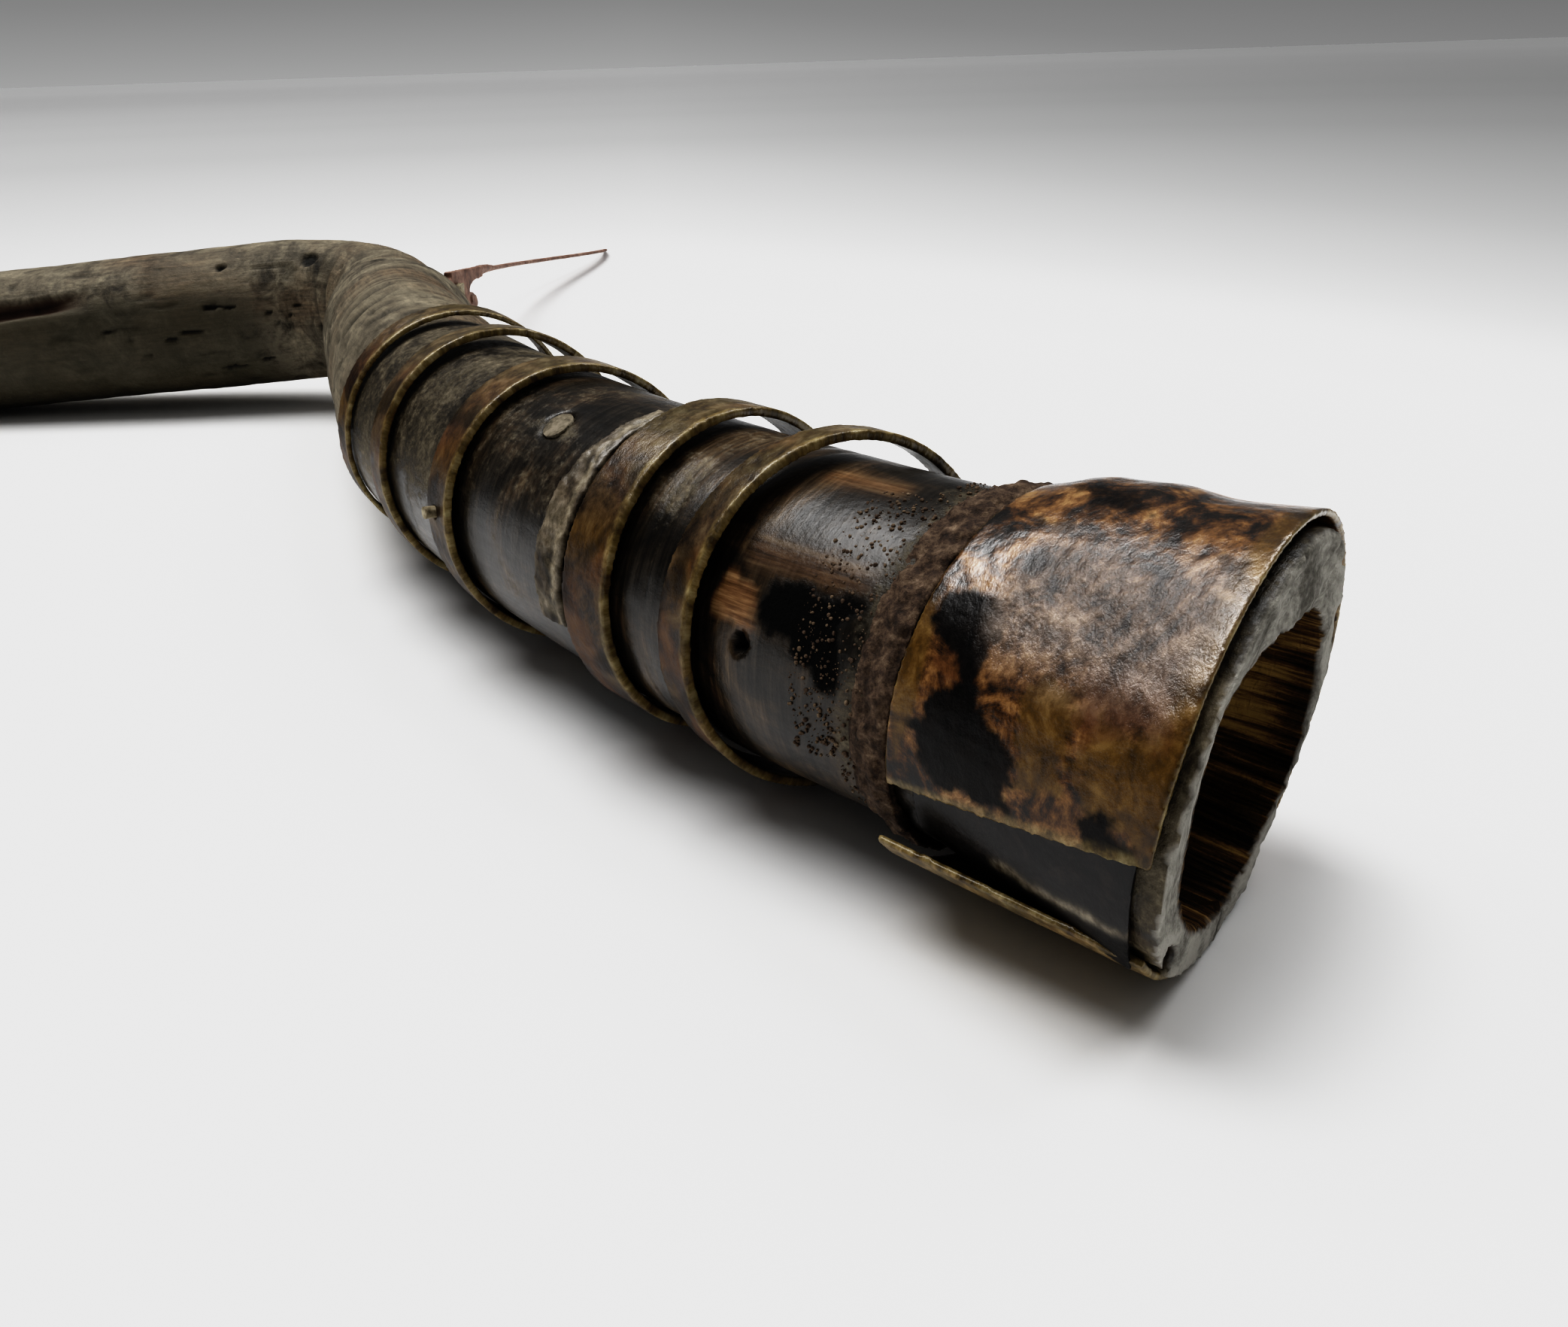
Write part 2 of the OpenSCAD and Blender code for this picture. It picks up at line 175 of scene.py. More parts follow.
def bare_branch_wood():
    """Bare wood darkened by hands and by painted shade on its lower side: grey where dry, brown where rubbed, black in
    the cracks, no gloss.
    """
    material, tree = start_material("weathered_bare_wood")
    grain = add(tree, "Attribute", {"attribute_name": "grain"}).outputs["Vector"]
    depth = add(tree, "Attribute", {"attribute_name": "depth"}).outputs["Fac"]
    dust = add(tree, "Attribute", {"attribute_name": "dust"}).outputs["Fac"]
    grip = add(tree, "Attribute", {"attribute_name": "grip"}).outputs["Fac"]
    rust = add(tree, "Attribute", {"attribute_name": "heartwood"}).outputs["Fac"]
    # grain lines are about 0.8 mm apart and 40 mm long; the attribute is in metres
    fibre_place = add(tree, "Mapping", {}, {"Vector": grain, "Scale": (60, 900, 500)}).outputs[0]
    fibre = add(tree, "TexNoise", {}, {"Vector": fibre_place, "Scale": 1.0, "Detail": 6.0,
                                       "Roughness": 0.7}).outputs["Fac"]
    patch = add(tree, "TexNoise", {}, {"Vector": grain, "Scale": 120.0, "Detail": 9.0,
                                       "Roughness": 0.66, "Distortion": 0.8}).outputs["Fac"]
    speck = add(tree, "TexNoise", {}, {"Vector": grain, "Scale": 620.0, "Detail": 5.0,
                                       "Roughness": 0.7}).outputs["Fac"]
    ground = add(tree, "ValToRGB", {"stops": [(0.32, "#3c372e"), (0.45, "#635c4f"), (0.56, "#7d7667"),
                                              (0.70, "#968e7c")]}, {"Fac": patch}).outputs[0]
    brown = add(tree, "ValToRGB", {"stops": [(0.35, "#483a2c"), (0.65, "#7b6751")]}, {"Fac": fibre}).outputs[0]
    rubbed = add(tree, "ValToRGB", {"stops": [(0.48, 0.0), (0.66, 0.7)]}, {
        "Fac": add(tree, "TexNoise", {}, {"Vector": grain, "Scale": 30.0, "Detail": 6.0}).outputs["Fac"]}).outputs[0]
    tone = add(tree, "Mix", {"data_type": "RGBA"}, {0: rubbed, 6: ground, 7: brown}).outputs[2]
    lines = add(tree, "ValToRGB", {"stops": [(0.30, 0.55), (0.50, 1.0), (0.75, 1.3)]}, {"Fac": fibre}).outputs[0]
    tone = add(tree, "Mix", {"data_type": "RGBA", "blend_type": "MULTIPLY"}, {0: 0.6, 6: tone, 7: lines}).outputs[2]
    grit = add(tree, "ValToRGB", {"stops": [(0.32, 0.5), (0.5, 1.0), (0.7, 1.35)]}, {"Fac": speck}).outputs[0]
    tone = add(tree, "Mix", {"data_type": "RGBA", "blend_type": "MULTIPLY"}, {0: 0.7, 6: tone, 7: grit}).outputs[2]
    tone = add(tree, "Mix", {"data_type": "RGBA"}, {0: dust, 6: tone, 7: paint_tone("#948b79")}).outputs[2]
    # the lower, front side is nearly black in ragged patches: old dirt from hands and stalks, and painted shade on the
    # side away from the light
    ragged = add(tree, "Math", {"operation": "MULTIPLY_ADD"}, {0: patch, 1: 1.1, 2: grip}).outputs[0]
    ragged = add(tree, "Math", {"operation": "MULTIPLY_ADD"}, {0: speck, 1: 0.35, 2: ragged}).outputs[0]
    dirt_and_shade = add(tree, "ValToRGB", {"stops": [(0.58, 0.0), (0.72, 0.42), (0.86, 0.74)]}, {
        "Fac": add(tree, "Math", {"operation": "MULTIPLY"}, {0: ragged, 1: 0.72}).outputs[0]}).outputs[0]
    tone = add(tree, "Mix", {"data_type": "RGBA"}, {0: dirt_and_shade, 6: tone, 7: paint_tone("#454134")}).outputs[2]
    tone = add(tree, "Mix", {"data_type": "RGBA"}, {0: rust, 6: tone, 7: paint_tone("#4a2c16")}).outputs[2]
    dark = add(tree, "ValToRGB", {"stops": [(0.0, 0.0), (1.0, 0.95)]}, {"Fac": depth}).outputs[0]
    tone = add(tree, "Mix", {"data_type": "RGBA"}, {0: dark, 6: tone, 7: paint_tone("#12100c")}).outputs[2]
    relief = add(tree, "Math", {"operation": "MULTIPLY_ADD"}, {0: fibre, 1: 0.7, 2: speck}).outputs[0]
    bump = add(tree, "Bump", {}, {"Height": relief, "Strength": 0.6, "Distance": 0.0005}).outputs[0]
    dull = add(tree, "MapRange", {}, {"Value": patch, "To Min": 0.55, "To Max": 0.8}).outputs[0]
    surface = add(tree, "BsdfPrincipled", {}, {"Base Color": tone, "Roughness": dull, "Normal": bump,
                                               "Specular IOR Level": 0.35})
    add(tree, "OutputMaterial", {}, {"Surface": surface.outputs[0]})
    return material


# The handle's line: straight for 32 mm at the mouth, then one arc of 400 mm that turns to the right.
HANDLE_STRAIGHT = 32.0
HANDLE_CURVE = 400.0
HANDLE_HEIGHT = 27.0
MOUTH_HEADING = math.radians(48.5)


def handle_line(s):
    """The handle's axis at s mm from the mouth, and the heading there."""
    turn = max(0.0, s - HANDLE_STRAIGHT) / HANDLE_CURVE
    heading, reach = MOUTH_HEADING - turn, min(s, HANDLE_STRAIGHT)
    x = -math.sin(MOUTH_HEADING) * reach + HANDLE_CURVE * (math.cos(MOUTH_HEADING) - math.cos(heading))
    y = math.cos(MOUTH_HEADING) * reach + HANDLE_CURVE * (math.sin(MOUTH_HEADING) - math.sin(heading))
    return np.array([x, y, HANDLE_HEIGHT]), heading


def crook_line():
    """The middle of the branch, each millimetre from the shoulder, with its heading and slope."""
    start, heading = handle_line(164.5)
    neck, bend, arm, hook = 105.0, math.radians(75.5) * 34.4, 100.0, 150.0
    marks = np.cumsum([0, neck, bend, arm, hook])
    neck_end = heading - neck / HANDLE_CURVE
    headings = [heading, neck_end, neck_end + math.radians(75.5), neck_end + math.radians(75.5),
                neck_end + math.radians(45.5)]
    steps = np.arange(0.0, marks[-1] + 0.5)
    h = np.interp(steps, marks, headings)
    e = np.radians(np.interp(steps, [0, neck / 3, neck, marks[2], marks[3], marks[4]], [0, 1, 1, -5, -5, 2]))
    ways = np.stack([-np.sin(h) * np.cos(e), np.cos(h) * np.cos(e), np.sin(e)], 1)
    places = start + np.vstack([[0, 0, 0], np.cumsum((ways[1:] + ways[:-1]) / 2, 0)])
    return steps, places, ways


def crook_place(points):
    """For each point: mm along the branch, degrees from the top towards the left, mm from the middle."""
    steps, places, ways = crook_line()
    along = np.empty(len(points))
    for start in range(0, len(points), 4000):
        part = points[start:start + 4000]
        gap = ((part[:, None, :] - places[None, ::2, :]) ** 2).sum(2)
        along[start:start + 4000] = steps[::2][gap.argmin(1)]
    near = along.astype(int)
    along = along + ((points - places[near]) * ways[near]).sum(1)
    near = np.clip(np.rint(along), 0, len(steps) - 1).astype(int)
    left = np.cross([0, 0, 1.0], ways[near])
    left /= np.linalg.norm(left, axis=1)[:, None]
    up = np.cross(ways[near], left)
    off = points - places[near]
    x, y = (off * left).sum(1), (off * up).sum(1)
    return along, np.degrees(np.arctan2(x, y)), np.hypot(x, y)


crook = skin_of("crook", "crook_branch", 0.85)
points = laid_out(corners(crook))
along, around, radius = crook_place(points)
arc = np.radians(around) * 19.0
grain = np.stack([along, arc, radius - 19.0], 1)
shape = 0.40 * rough(points, 28, 1) + 0.20 * rough(points, 9, 2) + 0.10 * rough(points, 3.5, 3)
bark_line = rough(grain * [1 / 22, 1 / 2.6, 0.2], 1, 4, 3)
crack = smooth_step(0.26, 0.5, -bark_line) * smooth_step(0.0, 0.3, rough(points, 14, 5))
pit = smooth_step(0.46, 0.66, rough(points, 2.8, 6)) * smooth_step(-0.1, 0.3, rough(points, 19, 7))
# wrinkles and drying cracks that run round the neck, behind the last hoop, and across the bend
wave = along - 0.09 * arc + 1.6 * rough(points, 11, 8)
ring = np.abs(np.mod(wave, 5.2) - 2.6) / 2.6
on_neck = smooth_step(6, 10, along) * smooth_step(60, 44, along) * smooth_step(60, 25, np.abs(around + 8))
sink = on_neck * 0.45 * smooth_step(0.35, 0.0, ring) * smooth_step(-0.35, 0.25, rough(points, 9, 10))
for place, turn, length, width, deep in (
    (26, 24, 5, 0.9, 1.1), (33, 20, 6, 0.9, 1.0), (45, 8, 14, 1.0, 0.7), (62, -12, 18, 1.2, 0.6), (84, 0, 16, 1.3, 0.5),
    (98, -20, 20, 1.5, 0.6), (112, -35, 18, 1.4, 0.6), (124, 60, 14, 1.2, 0.6), (131, 66, 16, 1.0, 0.5),
):
    bent = along - place + 0.09 * arc + 1.2 * rough(points, 9, 8)
    sink = np.maximum(sink, deep * np.exp(-(bent / width) ** 2) * np.exp(-((arc - np.radians(turn) * 19) / length) ** 2))
knots = spots(along, around, ((136, 34, 3.6, 6), (164, 37, 1.2, 3), (167, 71, 2.4, 1.8), (162, 73, 1.6, 1.6), (139, 77, 1.6, 3),
                              (174, 91, 3.0, 1.5), (179, 95, 1.8, 1.3), (166, 130, 4, 1.6), (157, 126, 2, 1.4), (150, 92, 1.6, 1.8),
                              (144, 86, 1.2, 2.4), (128, 100, 1.5, 3), (152, 80, 1.2, 1.4), (196, 84, 2.4, 1.2), (188, 108, 2.0, 1.4),
                              (240, -60, 3, 4), (90, -110, 4, 5), (60, 150, 5, 4)))
hollow = smooth_step(-0.5, 0.6, knots + 0.9 * rough(points, 1.9, 11, 3))
# a long open hollow in the arm, where a side branch was cut away; its lower lip is pale
groove_turn = 57 + 0.16 * (along - 214) + 1.5 * rough(points, 8, 12)
groove = smooth_step(8.5, 3.0, np.abs(around - groove_turn)) * smooth_step(198, 212, along) * smooth_step(262, 246, along)
lip = smooth_step(5.0, 1.5, np.abs(around - groove_turn - 11)) * smooth_step(196, 208, along) * smooth_step(262, 246, along)
on_branch = smooth_step(-1.0, 3.0, along)
down = (0.35 * crack + 0.35 * pit + sink + 0.9 * hollow + 2.2 * groove - 0.5 * lip) * on_branch
points = points + outward(crook) * ((0.9 * shape * on_branch - down)[:, None])
move_corners(crook, points)
paint(crook, "grain", grain / 1000)
paint(crook, "depth", np.clip(0.35 * crack + 0.5 * pit + 0.8 * sink + 1.1 * hollow + 0.5 * groove, 0, 1))
paint(crook, "heartwood", np.clip(0.85 * groove, 0, 1))
# the ridges between the wrinkles on the neck are painted paler: a painted highlight along each ridge; the rest of this
# mark is dust and the hollow's pale lip
paint(crook, "dust", np.clip(0.10 + 0.4 * rough(points, 30, 9) + 0.5 * lip + 0.35 * on_neck * ring ** 2, 0, 0.7))
# painted shade: the arm's lower, front side and underside, and the neck's left side, are painted darker as well as
# dirty
shaded = smooth_step(34, 82, around) * smooth_step(138, 172, along) + 0.3 * smooth_step(90, 140, around) * smooth_step(130, 100, along)
paint(crook, "grip", 0.95 * np.clip(shaded + 0.5 * smooth_step(-110, -170, around), 0, 1) - 0.25)
finish_piece(crook, "crook_wood", bare_branch_wood(), "crook")


# Blade. A narrow crescent forged from one iron bar, with an upright root plate and a tang. It is thin,
# unpolished, and covered with a firm brown rust that shows dark hammer marks.
def rusted_iron():
    """Old forged iron: brown oxide over grey metal, dull, with fine pitting."""
    material, tree = start_material("brown_rusted_iron")
    place = add(tree, "TexCoord").outputs["Object"]
    patch = add(tree, "TexNoise", {}, {"Vector": place, "Scale": 260.0, "Detail": 8.0, "Roughness": 0.65}).outputs["Fac"]
    # pits in old rust are about 0.3 mm; they are drawn at 0.7 mm so that they show
    pits = add(tree, "TexNoise", {}, {"Vector": place, "Scale": 1400.0, "Detail": 3.0}).outputs["Fac"]
    tone = add(tree, "ValToRGB", {"stops": [(0.30, "#54413a"), (0.46, "#826658"), (0.60, "#a08677"), (0.78, "#b7a394")]},
               {"Fac": patch}).outputs[0]
    bump = add(tree, "Bump", {}, {"Height": pits, "Strength": 0.5, "Distance": 0.0002}).outputs[0]
    dull = add(tree, "MapRange", {}, {"Value": patch, "To Min": 0.5, "To Max": 0.8}).outputs[0]
    surface = add(tree, "BsdfPrincipled", {}, {"Base Color": tone, "Metallic": 0.15, "Roughness": dull, "Normal": bump})
    add(tree, "OutputMaterial", {}, {"Surface": surface.outputs[0]})
    return material


blade = skin_of("blade", "blade_iron", 0.4)
points = laid_out(corners(blade))
dents = 0.10 * rough(points, 6, 21) + 0.06 * rough(points, 1.8, 22)
move_corners(blade, points + outward(blade) * dents[:, None])
iron = rusted_iron()
finish_piece(blade, "forged_iron", iron, "blade")

# Rivet. A short iron pin through the lower lobe of the root plate, hammered flat.
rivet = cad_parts["blade_rivet"]
rivet.data.materials.clear()
rivet.data.materials.append(iron)


# Wedge. A sliver of split bamboo, driven in beside the tang. It is out of sight inside the crook.
def split_cane(name, dark, middle, pale):
    """Dry split wood: dull, with fine lines along the grain, and old dirt where it is handled."""
    material, tree = start_material(name)
    place = add(tree, "TexCoord").outputs["Object"]
    lines = add(tree, "TexNoise", {}, {"Vector": place, "Scale": 1500.0, "Detail": 4.0}).outputs["Fac"]
    cloud = add(tree, "TexNoise", {}, {"Vector": place, "Scale": 300.0, "Detail": 5.0, "Roughness": 0.7}).outputs["Fac"]
    mixed = add(tree, "Math", {"operation": "MULTIPLY_ADD"}, {0: lines, 1: 0.5, 2: cloud}).outputs[0]
    tone = add(tree, "ValToRGB", {"stops": [(0.58, dark), (0.74, middle), (0.92, pale)]}, {"Fac": mixed}).outputs[0]
    bump = add(tree, "Bump", {}, {"Height": mixed, "Strength": 0.5, "Distance": 0.0003}).outputs[0]
    surface = add(tree, "BsdfPrincipled", {}, {"Base Color": tone, "Roughness": 0.75, "Normal": bump})
    add(tree, "OutputMaterial", {}, {"Surface": surface.outputs[0]})
    return material


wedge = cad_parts["tang_wedge"]
wedge.data.materials.clear()
wedge.data.materials.append(split_cane("dry_split_bamboo", "#6d6450", "#9a917b", "#b3ab98"))


# Handle tube. A hollow piece of hard wood or bamboo root, turned by hand, with old dark lacquer that is
# worn to a gloss. The mouth is bare, rough end grain, and the bore is split and fibrous.
def handle_place(points):
    """For each point: mm from the mouth, degrees from the top towards the left, mm from the axis."""
    start, _ = handle_line(HANDLE_STRAIGHT)
    across = np.array([-math.cos(MOUTH_HEADING), -math.sin(MOUTH_HEADING)])
    ahead = np.array([-math.sin(MOUTH_HEADING), math.cos(MOUTH_HEADING)])
    centre = start[:2] - HANDLE_CURVE * across
    off = centre - points[:, :2]
    heading = np.arctan2(off[:, 1], off[:, 0])
    s = HANDLE_STRAIGHT + (MOUTH_HEADING - heading) * HANDLE_CURVE
    left = np.hypot(off[:, 0], off[:, 1]) - HANDLE_CURVE
    straight = (points[:, :2] - start[:2]) @ ahead
    at_mouth = straight < 0
    s = np.where(at_mouth, HANDLE_STRAIGHT + straight, s)
    left = np.where(at_mouth, (points[:, :2] - start[:2]) @ across + 0.0157 * straight, left)
    up = points[:, 2] - HANDLE_HEIGHT - np.where(at_mouth, 0.0297 * straight, 0)
    return s, np.degrees(np.arctan2(left, up)), np.hypot(left, up)


def towards_mouth(s, facing):
    """How far each face looks back along the handle, from -1 to 1."""
    heading = MOUTH_HEADING - np.maximum(0, s - HANDLE_STRAIGHT) / HANDLE_CURVE
    return facing[:, 0] * np.sin(heading) - facing[:, 1] * np.cos(heading)


def within(s, around, outline, radius):
    """Millimetres inside an outline given as mm from the mouth and degrees round; below 0 is outside."""
    x, y = s, np.radians(around) * radius
    marks = np.array(outline, float) * [1, math.radians(1) * radius]
    nearest, inside = np.full(len(s), 1e9), np.zeros(len(s), bool)
    for (x0, y0), (x1, y1) in zip(marks, np.roll(marks, -1, 0)):
        dx, dy = x1 - x0, y1 - y0
        t = np.clip(((x - x0) * dx + (y - y0) * dy) / (dx * dx + dy * dy), 0, 1)
        nearest = np.minimum(nearest, np.hypot(x - x0 - t * dx, y - y0 - t * dy))
        if dy:
            inside ^= ((y0 > y) != (y1 > y)) & (x < dx * (y - y0) / dy + x0)
    return np.where(inside, nearest, -nearest)


def old_lacquer():
    """Many thin coats of dark lacquer over wood: black and glossy, brown and amber where worn thin."""
    material, tree = start_material("worn_dark_lacquer")
    grain = add(tree, "Attribute", {"attribute_name": "grain"}).outputs["Vector"]
    bare = add(tree, "Attribute", {"attribute_name": "bare"}).outputs["Fac"]
    fibres = add(tree, "Attribute", {"attribute_name": "fibres"}).outputs["Fac"]
    amber = add(tree, "Attribute", {"attribute_name": "amber"}).outputs["Fac"]
    char = add(tree, "Attribute", {"attribute_name": "char"}).outputs["Fac"]
    grime = add(tree, "Attribute", {"attribute_name": "grime"}).outputs["Fac"]
    patch = add(tree, "TexNoise", {}, {"Vector": grain, "Scale": 70.0, "Detail": 8.0, "Roughness": 0.66,
                                       "Distortion": 0.7}).outputs["Fac"]
    # figure of the wood under the lacquer: lines 1 mm apart and 20 mm long
    line_place = add(tree, "Mapping", {}, {"Vector": grain, "Scale": (60, 900, 300)}).outputs[0]
    lines = add(tree, "TexNoise", {}, {"Vector": line_place, "Scale": 1.0, "Detail": 6.0, "Roughness": 0.7}).outputs["Fac"]
    # fine scratches that run round the handle, and specks of dust about 1 mm across
    scratch_place = add(tree, "Mapping", {}, {"Vector": grain, "Scale": (1300, 90, 300)}).outputs[0]
    scratch = add(tree, "TexNoise", {}, {"Vector": scratch_place, "Scale": 1.0, "Detail": 4.0, "Roughness": 0.7}).outputs["Fac"]
    speck = add(tree, "TexNoise", {}, {"Vector": grain, "Scale": 900.0, "Detail": 5.0, "Roughness": 0.7}).outputs["Fac"]
    tone = add(tree, "ValToRGB", {"stops": [(0.34, "#191612"), (0.48, "#2c2721"), (0.58, "#45392c"), (0.72, "#655540")]},
               {"Fac": patch}).outputs[0]
    # the scratches are painted paler: partly scuffed lacquer, partly a painted glint along each scratch
    scratch_glint = add(tree, "ValToRGB", {"stops": [(0.35, 0.45), (0.5, 1.0), (0.66, 2.1)]}, {"Fac": scratch}).outputs[0]
    tone = add(tree, "Mix", {"data_type": "RGBA", "blend_type": "MULTIPLY"}, {0: 0.8, 6: tone, 7: scratch_glint}).outputs[2]
    glow = add(tree, "ValToRGB", {"stops": [(0.36, "#4a3320"), (0.5, "#8c6a4a"), (0.66, "#c0a078")]}, {"Fac": lines}).outputs[0]
    tone = add(tree, "Mix", {"data_type": "RGBA"}, {0: amber, 6: tone, 7: glow}).outputs[2]
    dirt = add(tree, "Math", {"operation": "MULTIPLY_ADD"}, {0: patch, 1: 0.7, 2: add(
        tree, "Math", {"operation": "MULTIPLY"}, {0: speck, 1: 0.55}).outputs[0]}).outputs[0]
    dirt_tone = add(tree, "ValToRGB", {"stops": [(0.45, "#2b261f"), (0.60, "#4f483b"), (0.72, "#6f6757"), (0.84, "#968c79")]},
                    {"Fac": dirt}).outputs[0]
    cover = add(tree, "Math", {"operation": "MULTIPLY_ADD", "use_clamp": True}, {0: grime, 1: 2.2, 2: add(
        tree, "MapRange", {"clamp": False}, {"Value": dirt, "From Min": 0.45, "From Max": 0.80, "To Min": -1.3,
                                             "To Max": 0.1}).outputs[0]}).outputs[0]
    tone = add(tree, "Mix", {"data_type": "RGBA"}, {0: cover, 6: tone, 7: dirt_tone}).outputs[2]
    tone = add(tree, "Mix", {"data_type": "RGBA"}, {0: char, 6: tone, 7: paint_tone("#060605")}).outputs[2]
    # the bore's right wall is painted lighter: its fibres, and painted light where the light falls into the mouth
    threads = add(tree, "Attribute", {"attribute_name": "threads"}).outputs["Fac"]
    lit = add(tree, "Math", {"operation": "MULTIPLY_ADD"}, {0: threads, 1: 0.16, 2: lines}).outputs[0]
    thread = add(tree, "ValToRGB", {"stops": [(0.42, "#1e170f"), (0.55, "#644d30"), (0.70, "#b99a66")]}, {"Fac": lit}).outputs[0]
    tone = add(tree, "Mix", {"data_type": "RGBA"}, {0: fibres, 6: tone, 7: thread}).outputs[2]
    end = add(tree, "ValToRGB", {"stops": [(0.40, "#343230"), (0.60, "#78756d"), (0.82, "#bfbcb4")]}, {"Fac": add(
        tree, "Math", {"operation": "ADD"}, {0: patch, 1: add(tree, "Math", {"operation": "MULTIPLY"}, {
            0: speck, 1: 0.45}).outputs[0]}).outputs[0]}).outputs[0]
    tone = add(tree, "Mix", {"data_type": "RGBA"}, {0: bare, 6: tone, 7: end}).outputs[2]
    matt = add(tree, "Math", {"operation": "MAXIMUM"}, {0: bare, 1: fibres}).outputs[0]
    matt = add(tree, "Math", {"operation": "MAXIMUM"}, {0: matt, 1: add(
        tree, "Math", {"operation": "MULTIPLY"}, {0: cover, 1: 0.7}).outputs[0]}).outputs[0]
    matt = add(tree, "Math", {"operation": "MAXIMUM"}, {0: matt, 1: char}).outputs[0]
    gloss = add(tree, "MapRange", {}, {"Value": lines, "From Min": 0.3, "From Max": 0.7, "To Min": 0.25, "To Max": 0.42}).outputs[0]
    gloss = add(tree, "Mix", {"data_type": "FLOAT"}, {0: matt, 2: gloss, 3: 0.8}).outputs[0]
    coat = add(tree, "MapRange", {}, {"Value": matt, "To Min": 0.62, "To Max": 0.0}).outputs[0]
    relief = add(tree, "Math", {"operation": "MULTIPLY_ADD"}, {0: scratch, 1: 0.4, 2: speck}).outputs[0]
    push = add(tree, "MapRange", {}, {"Value": matt, "To Min": 0.14, "To Max": 0.9}).outputs[0]
    bump = add(tree, "Bump", {}, {"Height": relief, "Strength": push, "Distance": 0.0005}).outputs[0]
    surface = add(tree, "BsdfPrincipled", {}, {"Base Color": tone, "Roughness": gloss, "Normal": bump, "IOR": 1.5,
                                               "Specular IOR Level": 0.22, "Coat Weight": coat,
                                               "Coat Roughness": 0.24, "Coat IOR": 1.6, "Coat Normal": bump})
    add(tree, "OutputMaterial", {}, {"Surface": surface.outputs[0]})
    return material


tube = skin_of("handle_tube", "handle_lacquered_tube", 0.74)
points = laid_out(corners(tube))
s, around, radius = handle_place(points)
arc = np.radians(around) * 20.0
facing = outward(tube)
# the wall has rotted away inside the mouth, so the opening is wider than the bore and not round
opening = np.interp(around, (-180, -150, -115, -80, -60, -40, -16, 0, 15, 39, 52, 64, 80, 95, 123, 150, 180), (
    17.0, 18.3, 19.5, 19.3, 18.3, 16.8, 15.0, 15.2, 16.4, 19.4, 20.8, 19.8, 19.2, 18.6, 17.2, 16.6, 17.0))
inner = np.clip((23.4 - radius) / 9.4, 0, 1) * smooth_step(26, 4, s)
widen = inner * (opening - 14.0) + inner * smooth_step(14.5, 16, opening) * 0.35 * rough(points, 6.5, 30)
sideways = np.stack([-np.sin(np.radians(around)) * math.cos(MOUTH_HEADING), -np.sin(np.radians(around)) * math.sin(
    MOUTH_HEADING), np.cos(np.radians(around))], 1)
end_grain = smooth_step(0.35, 0.75, towards_mouth(s, facing)) * smooth_step(9, 5, s) * smooth_step(13.8, 14.6, radius)
in_bore = smooth_step(16.8, 14.6, radius) * smooth_step(60, 50, s) * (1 - end_grain)
points = points + sideways * widen[:, None]
fibre = rough(np.stack([s / 20, arc * 0.75, 0 * s], 1), 1, 31, 3)
wobble = rough(points, 2.5, 36, 2)
move = (1 - in_bore) * (0.12 * rough(points, 14, 32) + 0.05 * rough(points, 4, 37))
move += end_grain * (0.35 * rough(points, 2.0, 33, 2) + 0.45 * rough(points, 7, 34)) * np.where(around > 25, 0.45, 1)
move += in_bore * fibre * (0.12 + 0.5 * smooth_step(2, 9, s))
# a small hole where a nail was, and shallow rings that old hoops pressed into the lacquer
nail_hole = spots(s, around, ((49.4, 79, 0.95, 3.6),))
move -= 1.6 * smooth_step(-0.1, 0.5, nail_hole) * smooth_step(18.5, 19.2, radius)
ring_marks = np.zeros(len(s))
for place, tilt in ((57.5, 1.2), (60.5, -0.6), (64.0, 0.8), (66.0, 0.2), (54.6, 1.6), (118.0, 0.5), (129.5, -0.5)):
    off_ring = s - place - tilt * np.cos(np.radians(around - 70)) + 0.5 * rough(points, 9, 38)
    ring_marks = np.maximum(ring_marks, np.exp(-(off_ring / 0.55) ** 2) * smooth_step(-0.5, 0.1, rough(points, 7, 39)))
on_skin = (1 - in_bore) * (1 - end_grain) * smooth_step(17.5, 18.8, radius)
move -= 0.16 * ring_marks * on_skin
points = points + facing * move[:, None]
move_corners(tube, points)
paint(tube, "grain", np.stack([s, arc, radius], 1) / 1000)
paint(tube, "bare", np.clip(end_grain, 0, 1))
paint(tube, "fibres", np.clip(in_bore, 0, 1))
# painted light on the bore's right wall, over its fibres
paint(tube, "threads", np.exp(-((around + 100) / 24) ** 2) * smooth_step(1, 6, s) * smooth_step(60, 40, s))
amber_patch = smooth_step(-0.7, 0.7, 1.3 * wobble + within(s, around, (
    (53.0, 57), (49.7, 58), (48.2, 60), (48.0, 66), (48.4, 73), (52.3, 76), (53.8, 71), (53.9, 61)), 19.6))
streak = np.exp(-((around - 10 - 0.12 * (s - 45)) / 4.5) ** 2) * smooth_step(51, 49, s) * smooth_step(37.5, 41, s)
red_glow = 0.35 * np.exp(-((around - 48) / 6) ** 2) * smooth_step(53, 50, s) * smooth_step(33, 38, s)
paint(tube, "amber", np.clip((0.8 * amber_patch + 0.55 * streak + red_glow) * on_skin, 0, 1))
char = smooth_step(-0.6, 0.6, 1.3 * wobble + within(s, around, (
    (47.7, 61), (46.5, 56), (44.0, 54), (40.6, 54), (37.0, 52), (34.2, 54), (36.4, 62), (35.8, 72), (35.9, 85), (39.3, 79),
    (44.5, 73), (47.3, 68)), 19.6))
paint(tube, "char", np.clip(np.maximum(char, smooth_step(-0.5, 0.1, nail_hole)) * on_skin, 0, 1))
